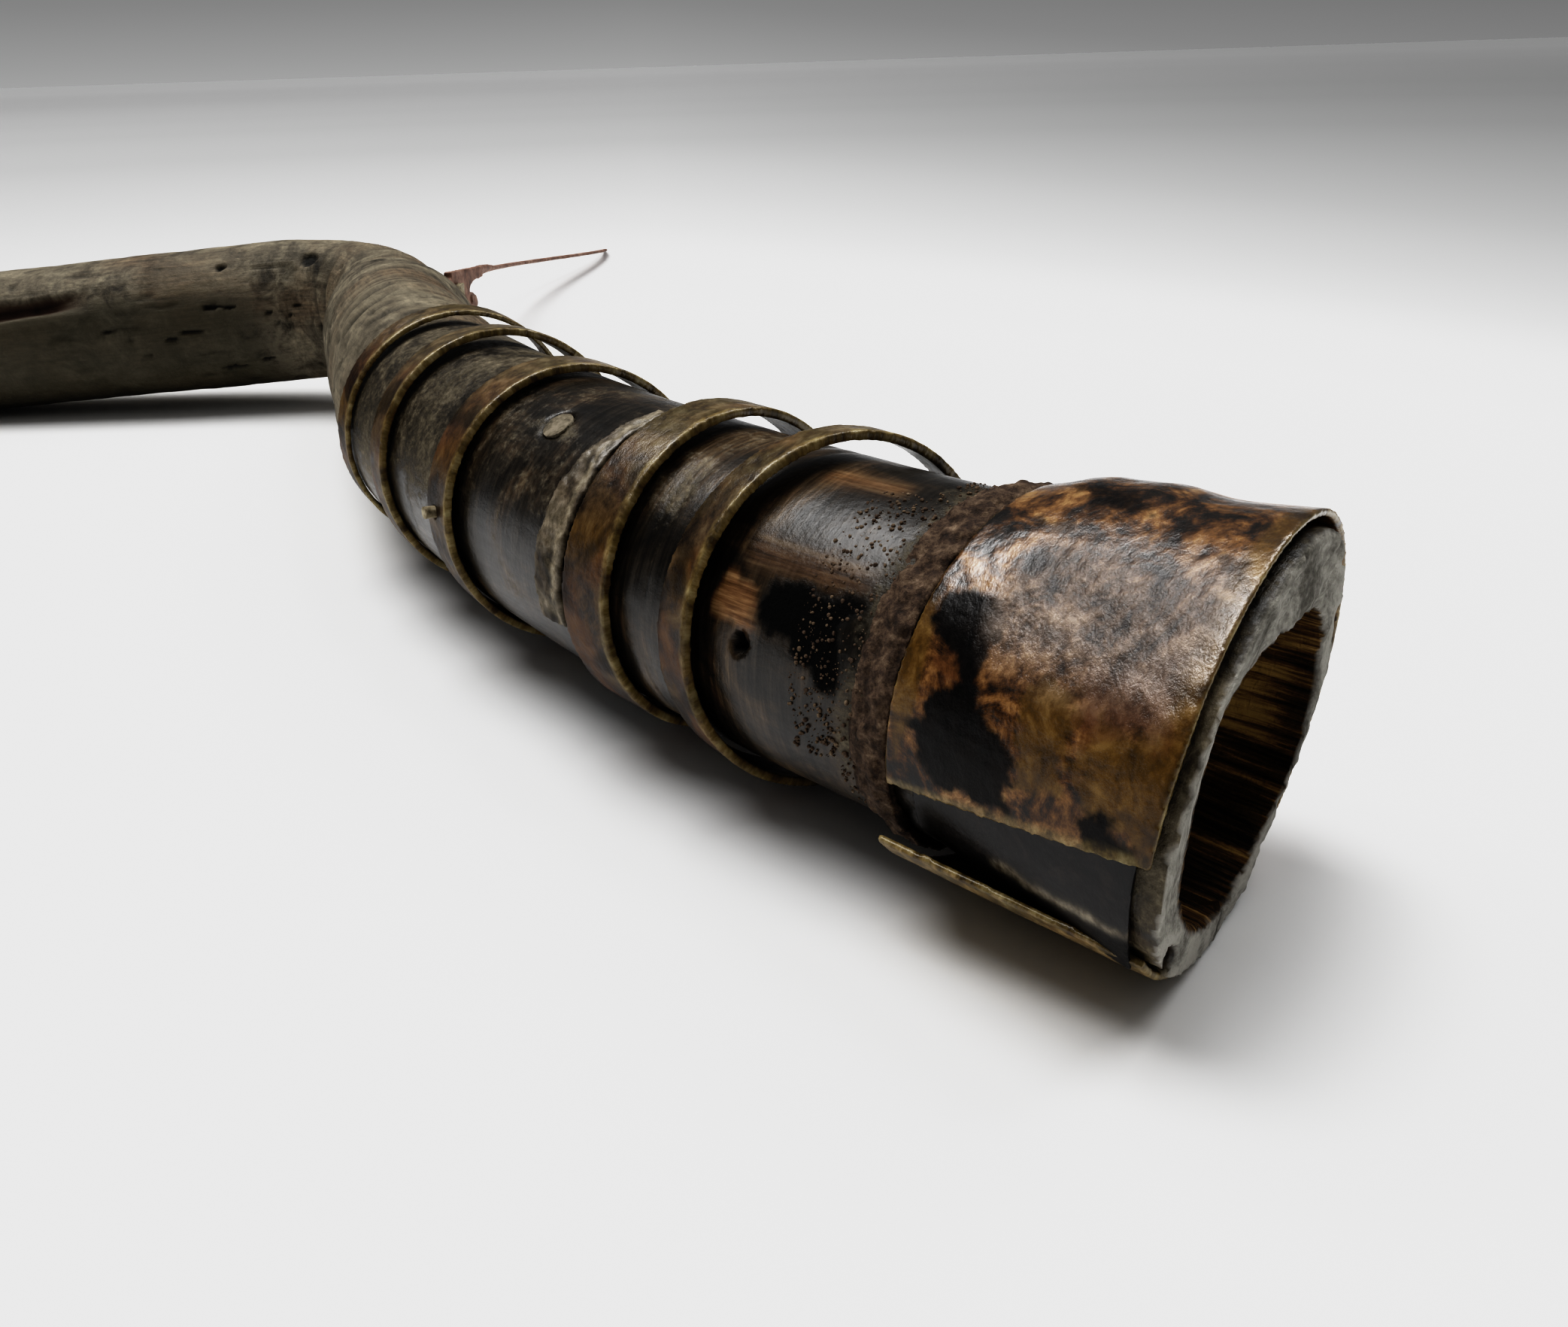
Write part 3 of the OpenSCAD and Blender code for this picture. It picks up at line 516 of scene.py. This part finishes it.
dusty = 0.30 * smooth_step(56, 66, s) + 0.10 * smooth_step(125, 150, s) - 0.18 * smooth_step(60, 95, np.abs(around - 10))
dusty += 0.85 * smooth_step(40.0, 33.0, s + 3.0 * rough(points, 5, 40)) + 0.18 * ring_marks + 0.30 * rough(points, 12, 35)
dusty += 0.10 * smooth_step(82, 88, s) * smooth_step(108, 98, s) * np.exp(-((around - 55) / 22) ** 2)
dusty += 0.22 * smooth_step(106, 116, s) * smooth_step(100, 60, np.abs(around - 20)) - 0.15 * smooth_step(80, 70, s)
dusty += 0.6 * smooth_step(-1.0, 1.5, spots(s, around, ((94.7, 31, 5.0, 5.0),)))
paint(tube, "grime", np.clip(dusty * on_skin, 0, 1))
finish_piece(tube, "lacquered_wood", old_lacquer(), "handle_tube")

# Tenon peg. A wooden dowel through the wall of the handle into the tenon, cut off flush and worn down
# with the handle.
peg = skin_of("tenon_peg", "tenon_peg_worn", 0.25)
points = laid_out(corners(peg))
s, around, radius = handle_place(points)
out = np.stack([-np.sin(np.radians(around)) * math.cos(MOUTH_HEADING - 0.155), -np.sin(np.radians(around)) * math.sin(
    MOUTH_HEADING - 0.155), np.cos(np.radians(around))], 1)
flush = np.where(radius > 19.2, 19.62 + 0.10 * rough(points, 1.6, 48, 2) - radius, 0)
move_corners(peg, points + out * flush[:, None])
finish_piece(peg, "peg_wood", split_cane("grey_end_grain", "#3f392e", "#6c6454", "#8f8676"), "tenon_peg")


# End sleeve. One sheet of horn, about 0.8 mm thick, softened with heat and bent round the mouth. It
# is mottled amber and black, polished by hands, with pale cut edges, an open seam and a loose lip.
def horn(name, stops, pale_tones, gloss_low, gloss_high, coat_roughness):
    """Heated and pressed horn: amber, brown and black clouds under a smooth hard surface."""
    material, tree = start_material(name)
    place = add(tree, "Attribute", {"attribute_name": "grain"}).outputs["Vector"]
    edge = add(tree, "Attribute", {"attribute_name": "edge"}).outputs["Fac"]
    black = add(tree, "Attribute", {"attribute_name": "black"}).outputs["Fac"]
    olive = add(tree, "Attribute", {"attribute_name": "olive"}).outputs["Fac"]
    red = add(tree, "Attribute", {"attribute_name": "red"}).outputs["Fac"]
    worn = add(tree, "Attribute", {"attribute_name": "worn"}).outputs["Fac"]
    cloud = add(tree, "TexNoise", {}, {"Vector": place, "Scale": 165.0, "Detail": 9.0, "Roughness": 0.68,
                                       "Distortion": 0.9}).outputs["Fac"]
    # flakes where the horn lifts in layers are 1 to 2 mm long and lie round the handle
    flake_place = add(tree, "Mapping", {}, {"Vector": place, "Scale": (560, 380, 300)}).outputs[0]
    fleck = add(tree, "TexNoise", {}, {"Vector": flake_place, "Scale": 1.0, "Detail": 6.0, "Roughness": 0.7}).outputs["Fac"]
    mixed = add(tree, "Math", {"operation": "MULTIPLY_ADD"}, {0: fleck, 1: 0.6, 2: cloud}).outputs[0]
    tone = add(tree, "ValToRGB", {"stops": stops}, {"Fac": mixed}).outputs[0]
    clear = add(tree, "ValToRGB", {"stops": [(0.62, "#46321a"), (0.80, "#624a20"), (0.98, "#7d6436")]}, {"Fac": mixed}).outputs[0]
    tone = add(tree, "Mix", {"data_type": "RGBA"}, {0: olive, 6: tone, 7: clear}).outputs[2]
    rust = add(tree, "ValToRGB", {"stops": [(0.62, "#321e12"), (0.92, "#6b4729")]}, {"Fac": mixed}).outputs[0]
    tone = add(tree, "Mix", {"data_type": "RGBA"}, {0: red, 6: tone, 7: rust}).outputs[2]
    pitch = add(tree, "ValToRGB", {"stops": [(0.6, "#060505"), (0.95, "#18120f")]}, {"Fac": mixed}).outputs[0]
    tone = add(tree, "Mix", {"data_type": "RGBA"}, {0: black, 6: tone, 7: pitch}).outputs[2]
    # where the sheet is rubbed it is painted lighter and greyer: wear, and a painted highlight along the rubbed band
    rubbed = add(tree, "ValToRGB", {"stops": [(0.62, "#302926"), (0.80, "#67594e"), (0.97, "#a5968a")]}, {"Fac": mixed}).outputs[0]
    rubbed_highlight_share = add(tree, "MapRange", {}, {"Value": worn, "From Min": 0.3, "From Max": 0.9, "To Max": 0.75}).outputs[0]
    tone = add(tree, "Mix", {"data_type": "RGBA"}, {0: rubbed_highlight_share, 6: tone, 7: rubbed}).outputs[2]
    pale_tone = add(tree, "ValToRGB", {"stops": list(zip((0.35, 0.5, 0.68), pale_tones))}, {"Fac": fleck}).outputs[0]
    tone = add(tree, "Mix", {"data_type": "RGBA"}, {0: edge, 6: tone, 7: pale_tone}).outputs[2]
    gloss = add(tree, "MapRange", {}, {"Value": fleck, "From Min": 0.3, "From Max": 0.7, "To Min": gloss_low,
                                       "To Max": gloss_high}).outputs[0]
    polish = add(tree, "Attribute", {"attribute_name": "polish"}).outputs["Fac"]
    sound = add(tree, "MapRange", {}, {"Value": black, "To Min": 1.0, "To Max": 0.25}).outputs[0]
    coat = add(tree, "Math", {"operation": "MULTIPLY"}, {0: polish, 1: sound}).outputs[0]
    push = add(tree, "MapRange", {}, {"Value": worn, "To Min": 0.12, "To Max": 0.8}).outputs[0]
    bump = add(tree, "Bump", {}, {"Height": fleck, "Strength": push, "Distance": 0.0008}).outputs[0]
    surface = add(tree, "BsdfPrincipled", {}, {"Base Color": tone, "Roughness": gloss, "Normal": bump, "IOR": 1.54,
                                               "Specular IOR Level": 0.22, "Coat Weight": coat,
                                               "Coat Roughness": coat_roughness, "Coat IOR": 1.9, "Coat Normal": bump})
    add(tree, "OutputMaterial", {}, {"Surface": surface.outputs[0]})
    return material


sleeve = skin_of("end_sleeve", "sleeve_horn", 0.345)
points = laid_out(corners(sleeve))
s, around, radius = handle_place(points)
facing = outward(sleeve)
outside = smooth_step(0.1, 0.5, (facing[:, 2] * np.cos(np.radians(around)) - (
    facing[:, 0] * math.cos(MOUTH_HEADING) + facing[:, 1] * math.sin(MOUTH_HEADING)) * np.sin(np.radians(around))))
# the sheet stands off the handle in two swellings near the top, and is wrinkled where fingers rub it
swell = np.exp(-((around + 19) / 30) ** 2) * (1.35 * np.exp(-((s - 20.5) / 4.6) ** 2) + 1.05 * np.exp(-((s - 13.5) / 4) ** 2))
rubbed = np.exp(-((around - 38) / 20) ** 2) * smooth_step(24, 17, s) * smooth_step(-2.5, 2, s)
wrinkle = rough(np.stack([s / 1.5, np.radians(around) * 23 / 2.6, 0 * s], 1), 1, 42, 2)
move = 0.06 * rough(points, 7, 41) + outside * (0.24 * rubbed * wrinkle + 0.04 * rough(points, 1.6, 43))
upright = np.stack([-np.sin(np.radians(around)) * math.cos(MOUTH_HEADING), -np.sin(np.radians(around)) * math.sin(
    MOUTH_HEADING), np.cos(np.radians(around))], 1)
move_corners(sleeve, points + facing * move[:, None] + upright * swell[:, None])
wobble = 0.9 * rough(points, 1.5, 44, 4) + 0.9 * rough(points, 4.5, 45, 2)
black = smooth_step(-0.5, 0.5, 1.0 * wobble + within(s, around, (
    (26.0, 44), (22.7, 42), (19.4, 41), (18.4, 46), (19.3, 55), (18.9, 63), (17.3, 71), (13.1, 76), (12.8, 89), (15.9, 92),
    (21.7, 93), (24.8, 87), (25.3, 79), (23.2, 70), (20.6, 64), (22.7, 58), (26.0, 53)), 23))
black = np.maximum(black, smooth_step(-0.5, 0.5, 0.8 * wobble + within(s, around, (
    (6.1, 82), (3.5, 79), (0.3, 82), (-0.9, 85), (0.5, 90), (4.6, 88)), 23.6)))
for outline in (((21.9, -3), (16.8, -6), (11.8, 7), (17.8, 10)), ((8, 14), (1, 16), (0, 24), (9, 21)),
                ((24, 12), (16, 14), (17, 22), (22, 20)), ((10, -40), (2, -60), (6, -80), (16, -60)),
                ((24, -90), (10, -110), (12, -150), (26, -140))):
    black = np.maximum(black, 0.75 * smooth_step(-0.5, 0.8, 1.6 * wobble - 0.6 + within(s, around, outline, 23.4)))
olive = smooth_step(-1.0, 1.0, 1.6 * wobble + within(s, around, (
    (6.0, 60), (-1.6, 57), (-2.5, 84), (3.1, 80), (7.5, 74)), 24))
olive = np.maximum(olive, smooth_step(-0.8, 0.8, 1.4 * wobble + within(s, around, (
    (14.8, 56), (9.0, 56), (7.5, 78), (12.4, 82)), 23)))
olive = np.maximum(olive, smooth_step(-0.6, 0.6, within(s, around, ((27, 44), (25.6, 56), (25.2, 75), (27, 92), (29, 60)), 23)))
olive = np.maximum(olive, 0.8 * smooth_step(2.0, 0.6, s - np.minimum(0, 0)) * smooth_step(75, 20, np.abs(around - 30)))
red = smooth_step(-1.0, 1.0, 1.8 * wobble + within(s, around, ((9.6, 49), (2.2, 45), (-0.1, 59), (6.9, 66)), 23.6))
red = np.maximum(red, 0.8 * smooth_step(-0.5, 0.5, 1.2 * wobble + within(s, around, ((23.5, 57), (20, 55), (19.6, 66), (23, 66)), 22)))
paint(sleeve, "grain", np.stack([s, np.radians(around) * 24, radius * 0.3], 1) / 1000)
paint(sleeve, "black", np.clip(black * (1 - 0.6 * red * (s < 15)), 0, 1))
paint(sleeve, "olive", np.clip(olive, 0, 0.85))
paint(sleeve, "red", np.clip(red, 0, 0.9) * (1 - olive * 0.5))
# cut edges are pale: at the mouth, at the far edge, along the seam and round the loose lip
mouth_face = smooth_step(0.5, 0.9, towards_mouth(s, facing)) + smooth_step(0.5, 0.9, -towards_mouth(s, facing))
seam_turn = np.zeros(31)
on_flap = (around > 60) & (around < 112)
np.maximum.at(seam_turn, np.clip(s[on_flap], 0, 30).astype(int), around[on_flap])
seam_turn = np.interp(s, np.arange(31) + 0.5, seam_turn)
seam_face = smooth_step(0.45, 0.85, np.abs((facing[:, 2] * np.sin(np.radians(around)) + (
    facing[:, 0] * math.cos(MOUTH_HEADING) + facing[:, 1] * math.sin(MOUTH_HEADING)) * np.cos(np.radians(around)))))
seam_line = 0.6 * smooth_step(4.0, 1.5, seam_turn - around) * smooth_step(60, 80, around)
paint(sleeve, "edge", np.clip(np.maximum(np.maximum(mouth_face, seam_face) * 0.9, seam_line), 0, 1))
# the rubbed band is also painted lighter in the material: a painted highlight as well as wear
paint(sleeve, "worn", np.clip(rubbed + 0.12, 0, 1))
paint(sleeve, "polish", 0.3 + 0.7 * smooth_step(64, 44, around) * smooth_step(-60, -20, around))
amber_horn = horn("amber_horn_sheet", [(0.62, "#0f0b08"), (0.71, "#281b11"), (0.79, "#563a20"), (0.88, "#84613a"),
                                       (0.99, "#ac8c60")], ("#574930", "#8c7a50", "#bdb088"), 0.3, 0.5, 0.14)
finish_piece(sleeve, "amber_horn", amber_horn, "end_sleeve")

# Sleeve liner. A strip of black horn inside the seam, with a pale broken lower edge.
black_horn = horn("black_worn_horn", [(0.62, "#0d0c0c"), (0.82, "#1e1b1b"), (0.98, "#332d2a")], ("#453c30", "#7c7260", "#aca390"), 0.4, 0.6, 0.25)
liner = skin_of("sleeve_liner", "liner_horn", 0.25)
points = laid_out(corners(liner))
s, around, radius = handle_place(points)
paint(liner, "grain", np.stack([s, np.radians(around) * 24, radius * 0.3], 1) / 1000)
broken = around - 107 - 0.35 * s - 2.0 * rough(points, 4, 47, 2)
paint(liner, "edge", 0.8 * np.exp(-(broken / 1.8) ** 2) * smooth_step(17, 14, s))
paint(liner, "black", smooth_step(1, 3, broken))
for mark in ("olive", "red", "worn", "polish"):
    paint(liner, mark, np.full(len(points), 0.3 if mark == "polish" else 0.0))
finish_piece(liner, "dark_horn", black_horn, "sleeve_liner")


# Resin belt. A hand-laid bead of resin and dirt that seals the far edge of the sleeve. It has crumbled,
# and crumbs of it stick to the lacquer for about 10 mm beyond it.
def crusted_resin(name, tones):
    """Old resin full of dust: brown, dull and crumbly."""
    material, tree = start_material(name)
    place = add(tree, "TexCoord").outputs["Object"]
    crumb = add(tree, "TexNoise", {}, {"Vector": place, "Scale": 650.0, "Detail": 6.0, "Roughness": 0.75}).outputs["Fac"]
    tone = add(tree, "ValToRGB", {"stops": list(zip((0.32, 0.46, 0.58, 0.72), tones))},
               {"Fac": crumb}).outputs[0]
    bump = add(tree, "Bump", {}, {"Height": crumb, "Strength": 0.9, "Distance": 0.0006}).outputs[0]
    surface = add(tree, "BsdfPrincipled", {}, {"Base Color": tone, "Roughness": 0.75, "Normal": bump})
    add(tree, "OutputMaterial", {}, {"Surface": surface.outputs[0]})
    return material


belt = skin_of("resin_belt", "belt_resin", 0.32)
points = laid_out(corners(belt))
s, around, radius = handle_place(points)
move = 0.55 * rough(points, 2.2, 51, 3) + 0.35 * rough(points, 5.5, 52) - 0.1
move_corners(belt, points + outward(belt) * (move * smooth_step(19.4, 20.0, radius))[:, None])
resin = crusted_resin("crusted_brown_resin", ("#221913", "#4a3a2e", "#6f5d4c", "#978673"))
finish_piece(belt, "resin", resin, "resin_belt")

chance = np.random.default_rng(7)
crumb_corners, crumb_faces = [], []
for _ in range(2200):
    far = 30.0 + 12.0 * chance.random() ** 2.6
    turn = math.radians(chance.uniform(-70, 130) if far < 36 else chance.uniform(10, 110))
    middle, heading = handle_line(far)
    side = np.array([-math.cos(heading), -math.sin(heading), 0])
    out = math.sin(turn) * side + math.cos(turn) * np.array([0, 0, 1.0])
    size = 0.14 + 0.42 * chance.random() ** 2
    seat = middle + out * (19.55 + 0.1 * size)
    shape = np.array([(1, 0, 0), (-1, 0, 0), (0, 1, 0), (0, -1, 0), (0, 0, 1), (0, 0, -1)]) * chance.uniform(0.6, 1.3, (6, 1))
    first = len(crumb_corners)
    crumb_corners += (seat + shape * size).tolist()
    crumb_faces += [(first + a, first + b, first + c) for a, b, c in (
        (0, 2, 4), (2, 1, 4), (1, 3, 4), (3, 0, 4), (2, 0, 5), (1, 2, 5), (3, 1, 5), (0, 3, 5))]
crumbs = bpy.data.objects.new("resin_crumbs", bpy.data.meshes.new("resin_crumbs"))
crumbs.data.from_pydata(on_table(crumb_corners).tolist(), [], crumb_faces)
bpy.context.scene.collection.objects.link(crumbs)
apply_modifier(crumbs, "SUBSURF", levels=1, render_levels=1)
only(crumbs)
bpy.ops.object.shade_smooth()
crumbs.data.materials.append(crusted_resin("dry_resin_dust", ("#3a2e25", "#604f41", "#85735f", "#a3947f")))
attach(crumbs, "root")

# Hoops. Rings cut from horn and pushed on the tube, dark inside and out, with pale worn edges and a painted highlight
# on top.
# A part of a sixth ring is stuck beside the second.
hoop_horn = horn("brown_horn_hoop", [(0.60, "#181310"), (0.72, "#35291f"), (0.84, "#54432f"), (0.98, "#6b5b45")],
                 ("#574930", "#8c7a50", "#bdb088"), 0.35, 0.6, 0.18)
worn_horn = horn("weathered_horn_band", [(0.60, "#15120f"), (0.72, "#2f2821"), (0.84, "#4f453a"), (0.98, "#776b5b")],
                 ("#4c4538", "#857b68", "#bbb2a1"), 0.5, 0.7, 0.3)
for number, (node, clear_turn, clear_width) in enumerate((
        ("hoop_1", 60, 22), ("hoop_2", 68, 14), ("hoop_3", 52, 18), ("hoop_4", 58, 20), ("hoop_5", 70, 15), ("worn_hoop", 50, 5))):
    hoop = skin_of(node, node + "_horn", 0.32)
    points = laid_out(corners(hoop))
    s, around, radius = handle_place(points)
    facing = outward(hoop)
    near = towards_mouth(s, facing)
    worn_band = node == "worn_hoop"
    move = 0.06 * rough(points, 5, 61 + number) + 0.04 * rough(points, 1.5, 71 + number)
    if worn_band:
        move = 0.25 * rough(points, 2.6, 67, 3) + 0.08 * rough(points, 0.9, 68)
    move_corners(hoop, points + facing * move[:, None])
    paint(hoop, "grain", np.stack([s, np.radians(around) * 21, radius * 0.3], 1) / 1000)
    bins = np.clip(((around + 180) / 4).astype(int), 0, 89)
    rim = np.full(90, 1e9)
    np.minimum.at(rim, bins, s)
    from_rim = s - np.interp(around, np.arange(-178, 182, 4), rim, period=360) + 0.35 * rough(points, 3, 111 + number)
    pale = np.maximum(smooth_step(0.25, 0.7, near), 0.7 * smooth_step(1.2, 0.5, from_rim)) + 0.5 * smooth_step(0.5, 0.9, -near)
    # painted highlight: the top of each hoop is painted paler, where the light from above falls
    pale = pale * (0.85 + 0.5 * rough(points, 5, 121 + number, 2)) + 0.38 * smooth_step(55, 10, np.abs(around))
    if worn_band:
        pale = 0.35 + 0.5 * rough(points, 3.5, 69, 3) + 0.7 * np.exp(-((from_rim - 1.2) / 0.5) ** 2)
    paint(hoop, "edge", np.clip(pale, 0, 1) * (1.0 if worn_band else 0.85))
    paint(hoop, "olive", np.clip((0.2 if worn_band else 0.8) * np.exp(-((around - clear_turn) / clear_width) ** 2) * smooth_step(
        -0.5, 0.4, rough(points, 6, 81 + number)), 0, 1))
    paint(hoop, "red", np.clip((0 if worn_band else 0.65) * smooth_step(-0.1, 0.4, rough(points, 8, 91 + number)), 0, 1))
    paint(hoop, "black", np.clip(smooth_step(0.0, 0.4, rough(points, 5, 101 + number)) * (0.3 if worn_band else 0.7), 0, 1))
    paint(hoop, "worn", np.full(len(points), 0.25))
    paint(hoop, "polish", 0.15 + 0.45 * smooth_step(62, 40, around))
    finish_piece(hoop, "dark_horn", worn_horn if worn_band else hoop_horn, node)

# Hoop pin. A thin wooden pin through hoop 3 into the wall of the handle.
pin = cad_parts["hoop_pin"]
pin.data.materials.clear()
pin.data.materials.append(split_cane("pale_split_bamboo", "#6a604c", "#968b74", "#bdb49e"))


# The table and the light. A white board, painted with shade that darkens it into the distance and to the right, so that
# it fades without an edge into a grey wall; it is lit by a large softbox overhead, a little to the left, and by a weak
# soft lamp from the right and behind.
EYE = on_table([[-45.0699, -99.8485, 87.9356]])[0]


def painted_backdrop_shade(tree, way):
    """Painted shade of the backdrop, as brightness seen from the camera's place in a direction: it falls upwards, and
    to the right.
    """
    parts = add(tree, "SeparateXYZ", {}, {0: way})
    drop = add(tree, "Math", {"operation": "DIVIDE"}, {0: parts.outputs["Z"], 1: -0.172}).outputs[0]
    right = add(tree, "Math", {"operation": "MAXIMUM"}, {0: add(tree, "Math", {"operation": "ADD"}, {
        0: parts.outputs["X"], 1: 0.1}).outputs[0], 1: 0.0}).outputs[0]
    fall = add(tree, "Math", {"operation": "MULTIPLY_ADD"}, {0: right, 1: -0.61, 2: drop}).outputs[0]
    place = add(tree, "MapRange", {}, {"Value": fall, "From Min": -6.0, "From Max": 1.0}).outputs[0]
    stops = ((-6.0, 0.3), (-4.9, 0.3), (-3.5, 0.12), (-1.7, 0.08), (-0.8, 0.13), (-0.45, 0.20), (-0.25, 0.232), (-0.05, 0.288),
             (0.1, 0.335), (0.3, 0.412), (0.5, 0.515), (0.65, 0.60), (0.85, 0.78), (1.0, 0.86))
    tone = add(tree, "ValToRGB", {"stops": [((t + 6.0) / 7.0, value) for t, value in stops]}, {"Fac": place}).outputs[0]
    return tone, drop


def table_with_painted_shade():
    """Smooth matt white board. Its tone is painted darker into the distance and to the right, as painted shade; far
    from the lamps less light falls on it, and its tone is painted brighter to make up for that.
    """
    material, tree = start_material("pale_table_with_painted_shade")
    place = add(tree, "TexCoord").outputs["Object"]
    off = add(tree, "VectorMath", {"operation": "SUBTRACT"}, {0: place, 1: tuple(EYE)}).outputs["Vector"]
    tone, near = painted_backdrop_shade(tree, add(tree, "VectorMath", {"operation": "NORMALIZE"}, {0: off}).outputs["Vector"])
    light = add(tree, "ValToRGB", {"stops": [(0.0, 0.35), (0.04, 0.365), (0.07, 0.435), (0.10, 0.545), (0.15, 0.75), (0.2, 0.88), (0.3, 0.98),
                                             (0.45, 0.98), (1.0, 1.0)]}, {"Fac": near}).outputs[0]
    tone = add(tree, "Mix", {"data_type": "RGBA", "blend_type": "DIVIDE"}, {0: 1.0, 6: tone, 7: light}).outputs[2]
    surface = add(tree, "BsdfPrincipled", {}, {"Base Color": tone, "Roughness": 0.75, "Specular IOR Level": 0.2})
    add(tree, "OutputMaterial", {}, {"Surface": surface.outputs[0]})
    return material


bpy.ops.object.select_all(action="DESELECT")
bpy.ops.mesh.primitive_plane_add(size=60.0, location=(0, 2.0, -0.0002))
table = bpy.context.object
table.name = "table"
table.data.transform(table.matrix_world)
table.matrix_world = Matrix.Identity(4)
table.data.materials.append(table_with_painted_shade())

for name, kind, way, settings in (
    ("top_softbox", "AREA", (-0.26, 0.12, 0.94), {"energy": 118.0, "shape": "DISK", "size": 3.1}),
    ("back_lamp", "SUN", (0.60, 0.42, 1.0), {"energy": 0.75, "angle": math.radians(30)}),
):
    light = bpy.data.lights.new(name, kind)
    for key, value in settings.items():
        setattr(light, key, value)
    holder = bpy.data.objects.new(name, light)
    holder.location = Vector(way).normalized() * 4.0
    holder.rotation_euler = Vector(way).to_track_quat("Z", "Y").to_euler()
    bpy.context.scene.collection.objects.link(holder)

world = bpy.data.worlds.new("studio")
world.use_nodes = True
sky = world.node_tree
sky.nodes.clear()
# the world's brightness follows the same painted shade of the backdrop
tone, _ = painted_backdrop_shade(sky, add(sky, "TexCoord").outputs["Generated"])
add(sky, "OutputWorld", {}, {"Surface": add(sky, "Background", {}, {"Color": tone, "Strength": 1.0}).outputs[0]})
bpy.context.scene.world = world
# The photo's tones are steep: white is held just under full, and the darks are deep.
view = bpy.context.scene.view_settings
view.view_transform = "Standard"
view.use_curve_mapping = True
tones = view.curve_mapping.curves[3]
tones.points[1].location = (1.0, 0.83)
for place in ((0.03, 0.008), (0.10, 0.060), (0.20, 0.185), (0.35, 0.43), (0.50, 0.66), (0.65, 0.79), (0.80, 0.815)):
    tones.points.new(*place)
view.curve_mapping.update()

# The camera, low at the near right of the tool, looking down along the handle.
camera = bpy.data.objects.new("camera", bpy.data.cameras.new("camera"))
camera.data.lens = 36.0 * 1600 / 2085
camera.data.sensor_width = 36.0
right = np.array(LEAN) @ np.array([0.9999, -0.0062, -0.0123])
above = np.array(LEAN) @ np.array([0.0137, 0.4482, 0.8938])
behind = np.array(LEAN) @ np.array([0.0, -0.8939, 0.4482])
turn = Matrix([right, above, behind]).transposed().to_4x4()
camera.matrix_world = Matrix.Translation(EYE) @ turn
camera.data.clip_start = 0.01
bpy.context.scene.collection.objects.link(camera)
bpy.context.scene.camera = camera
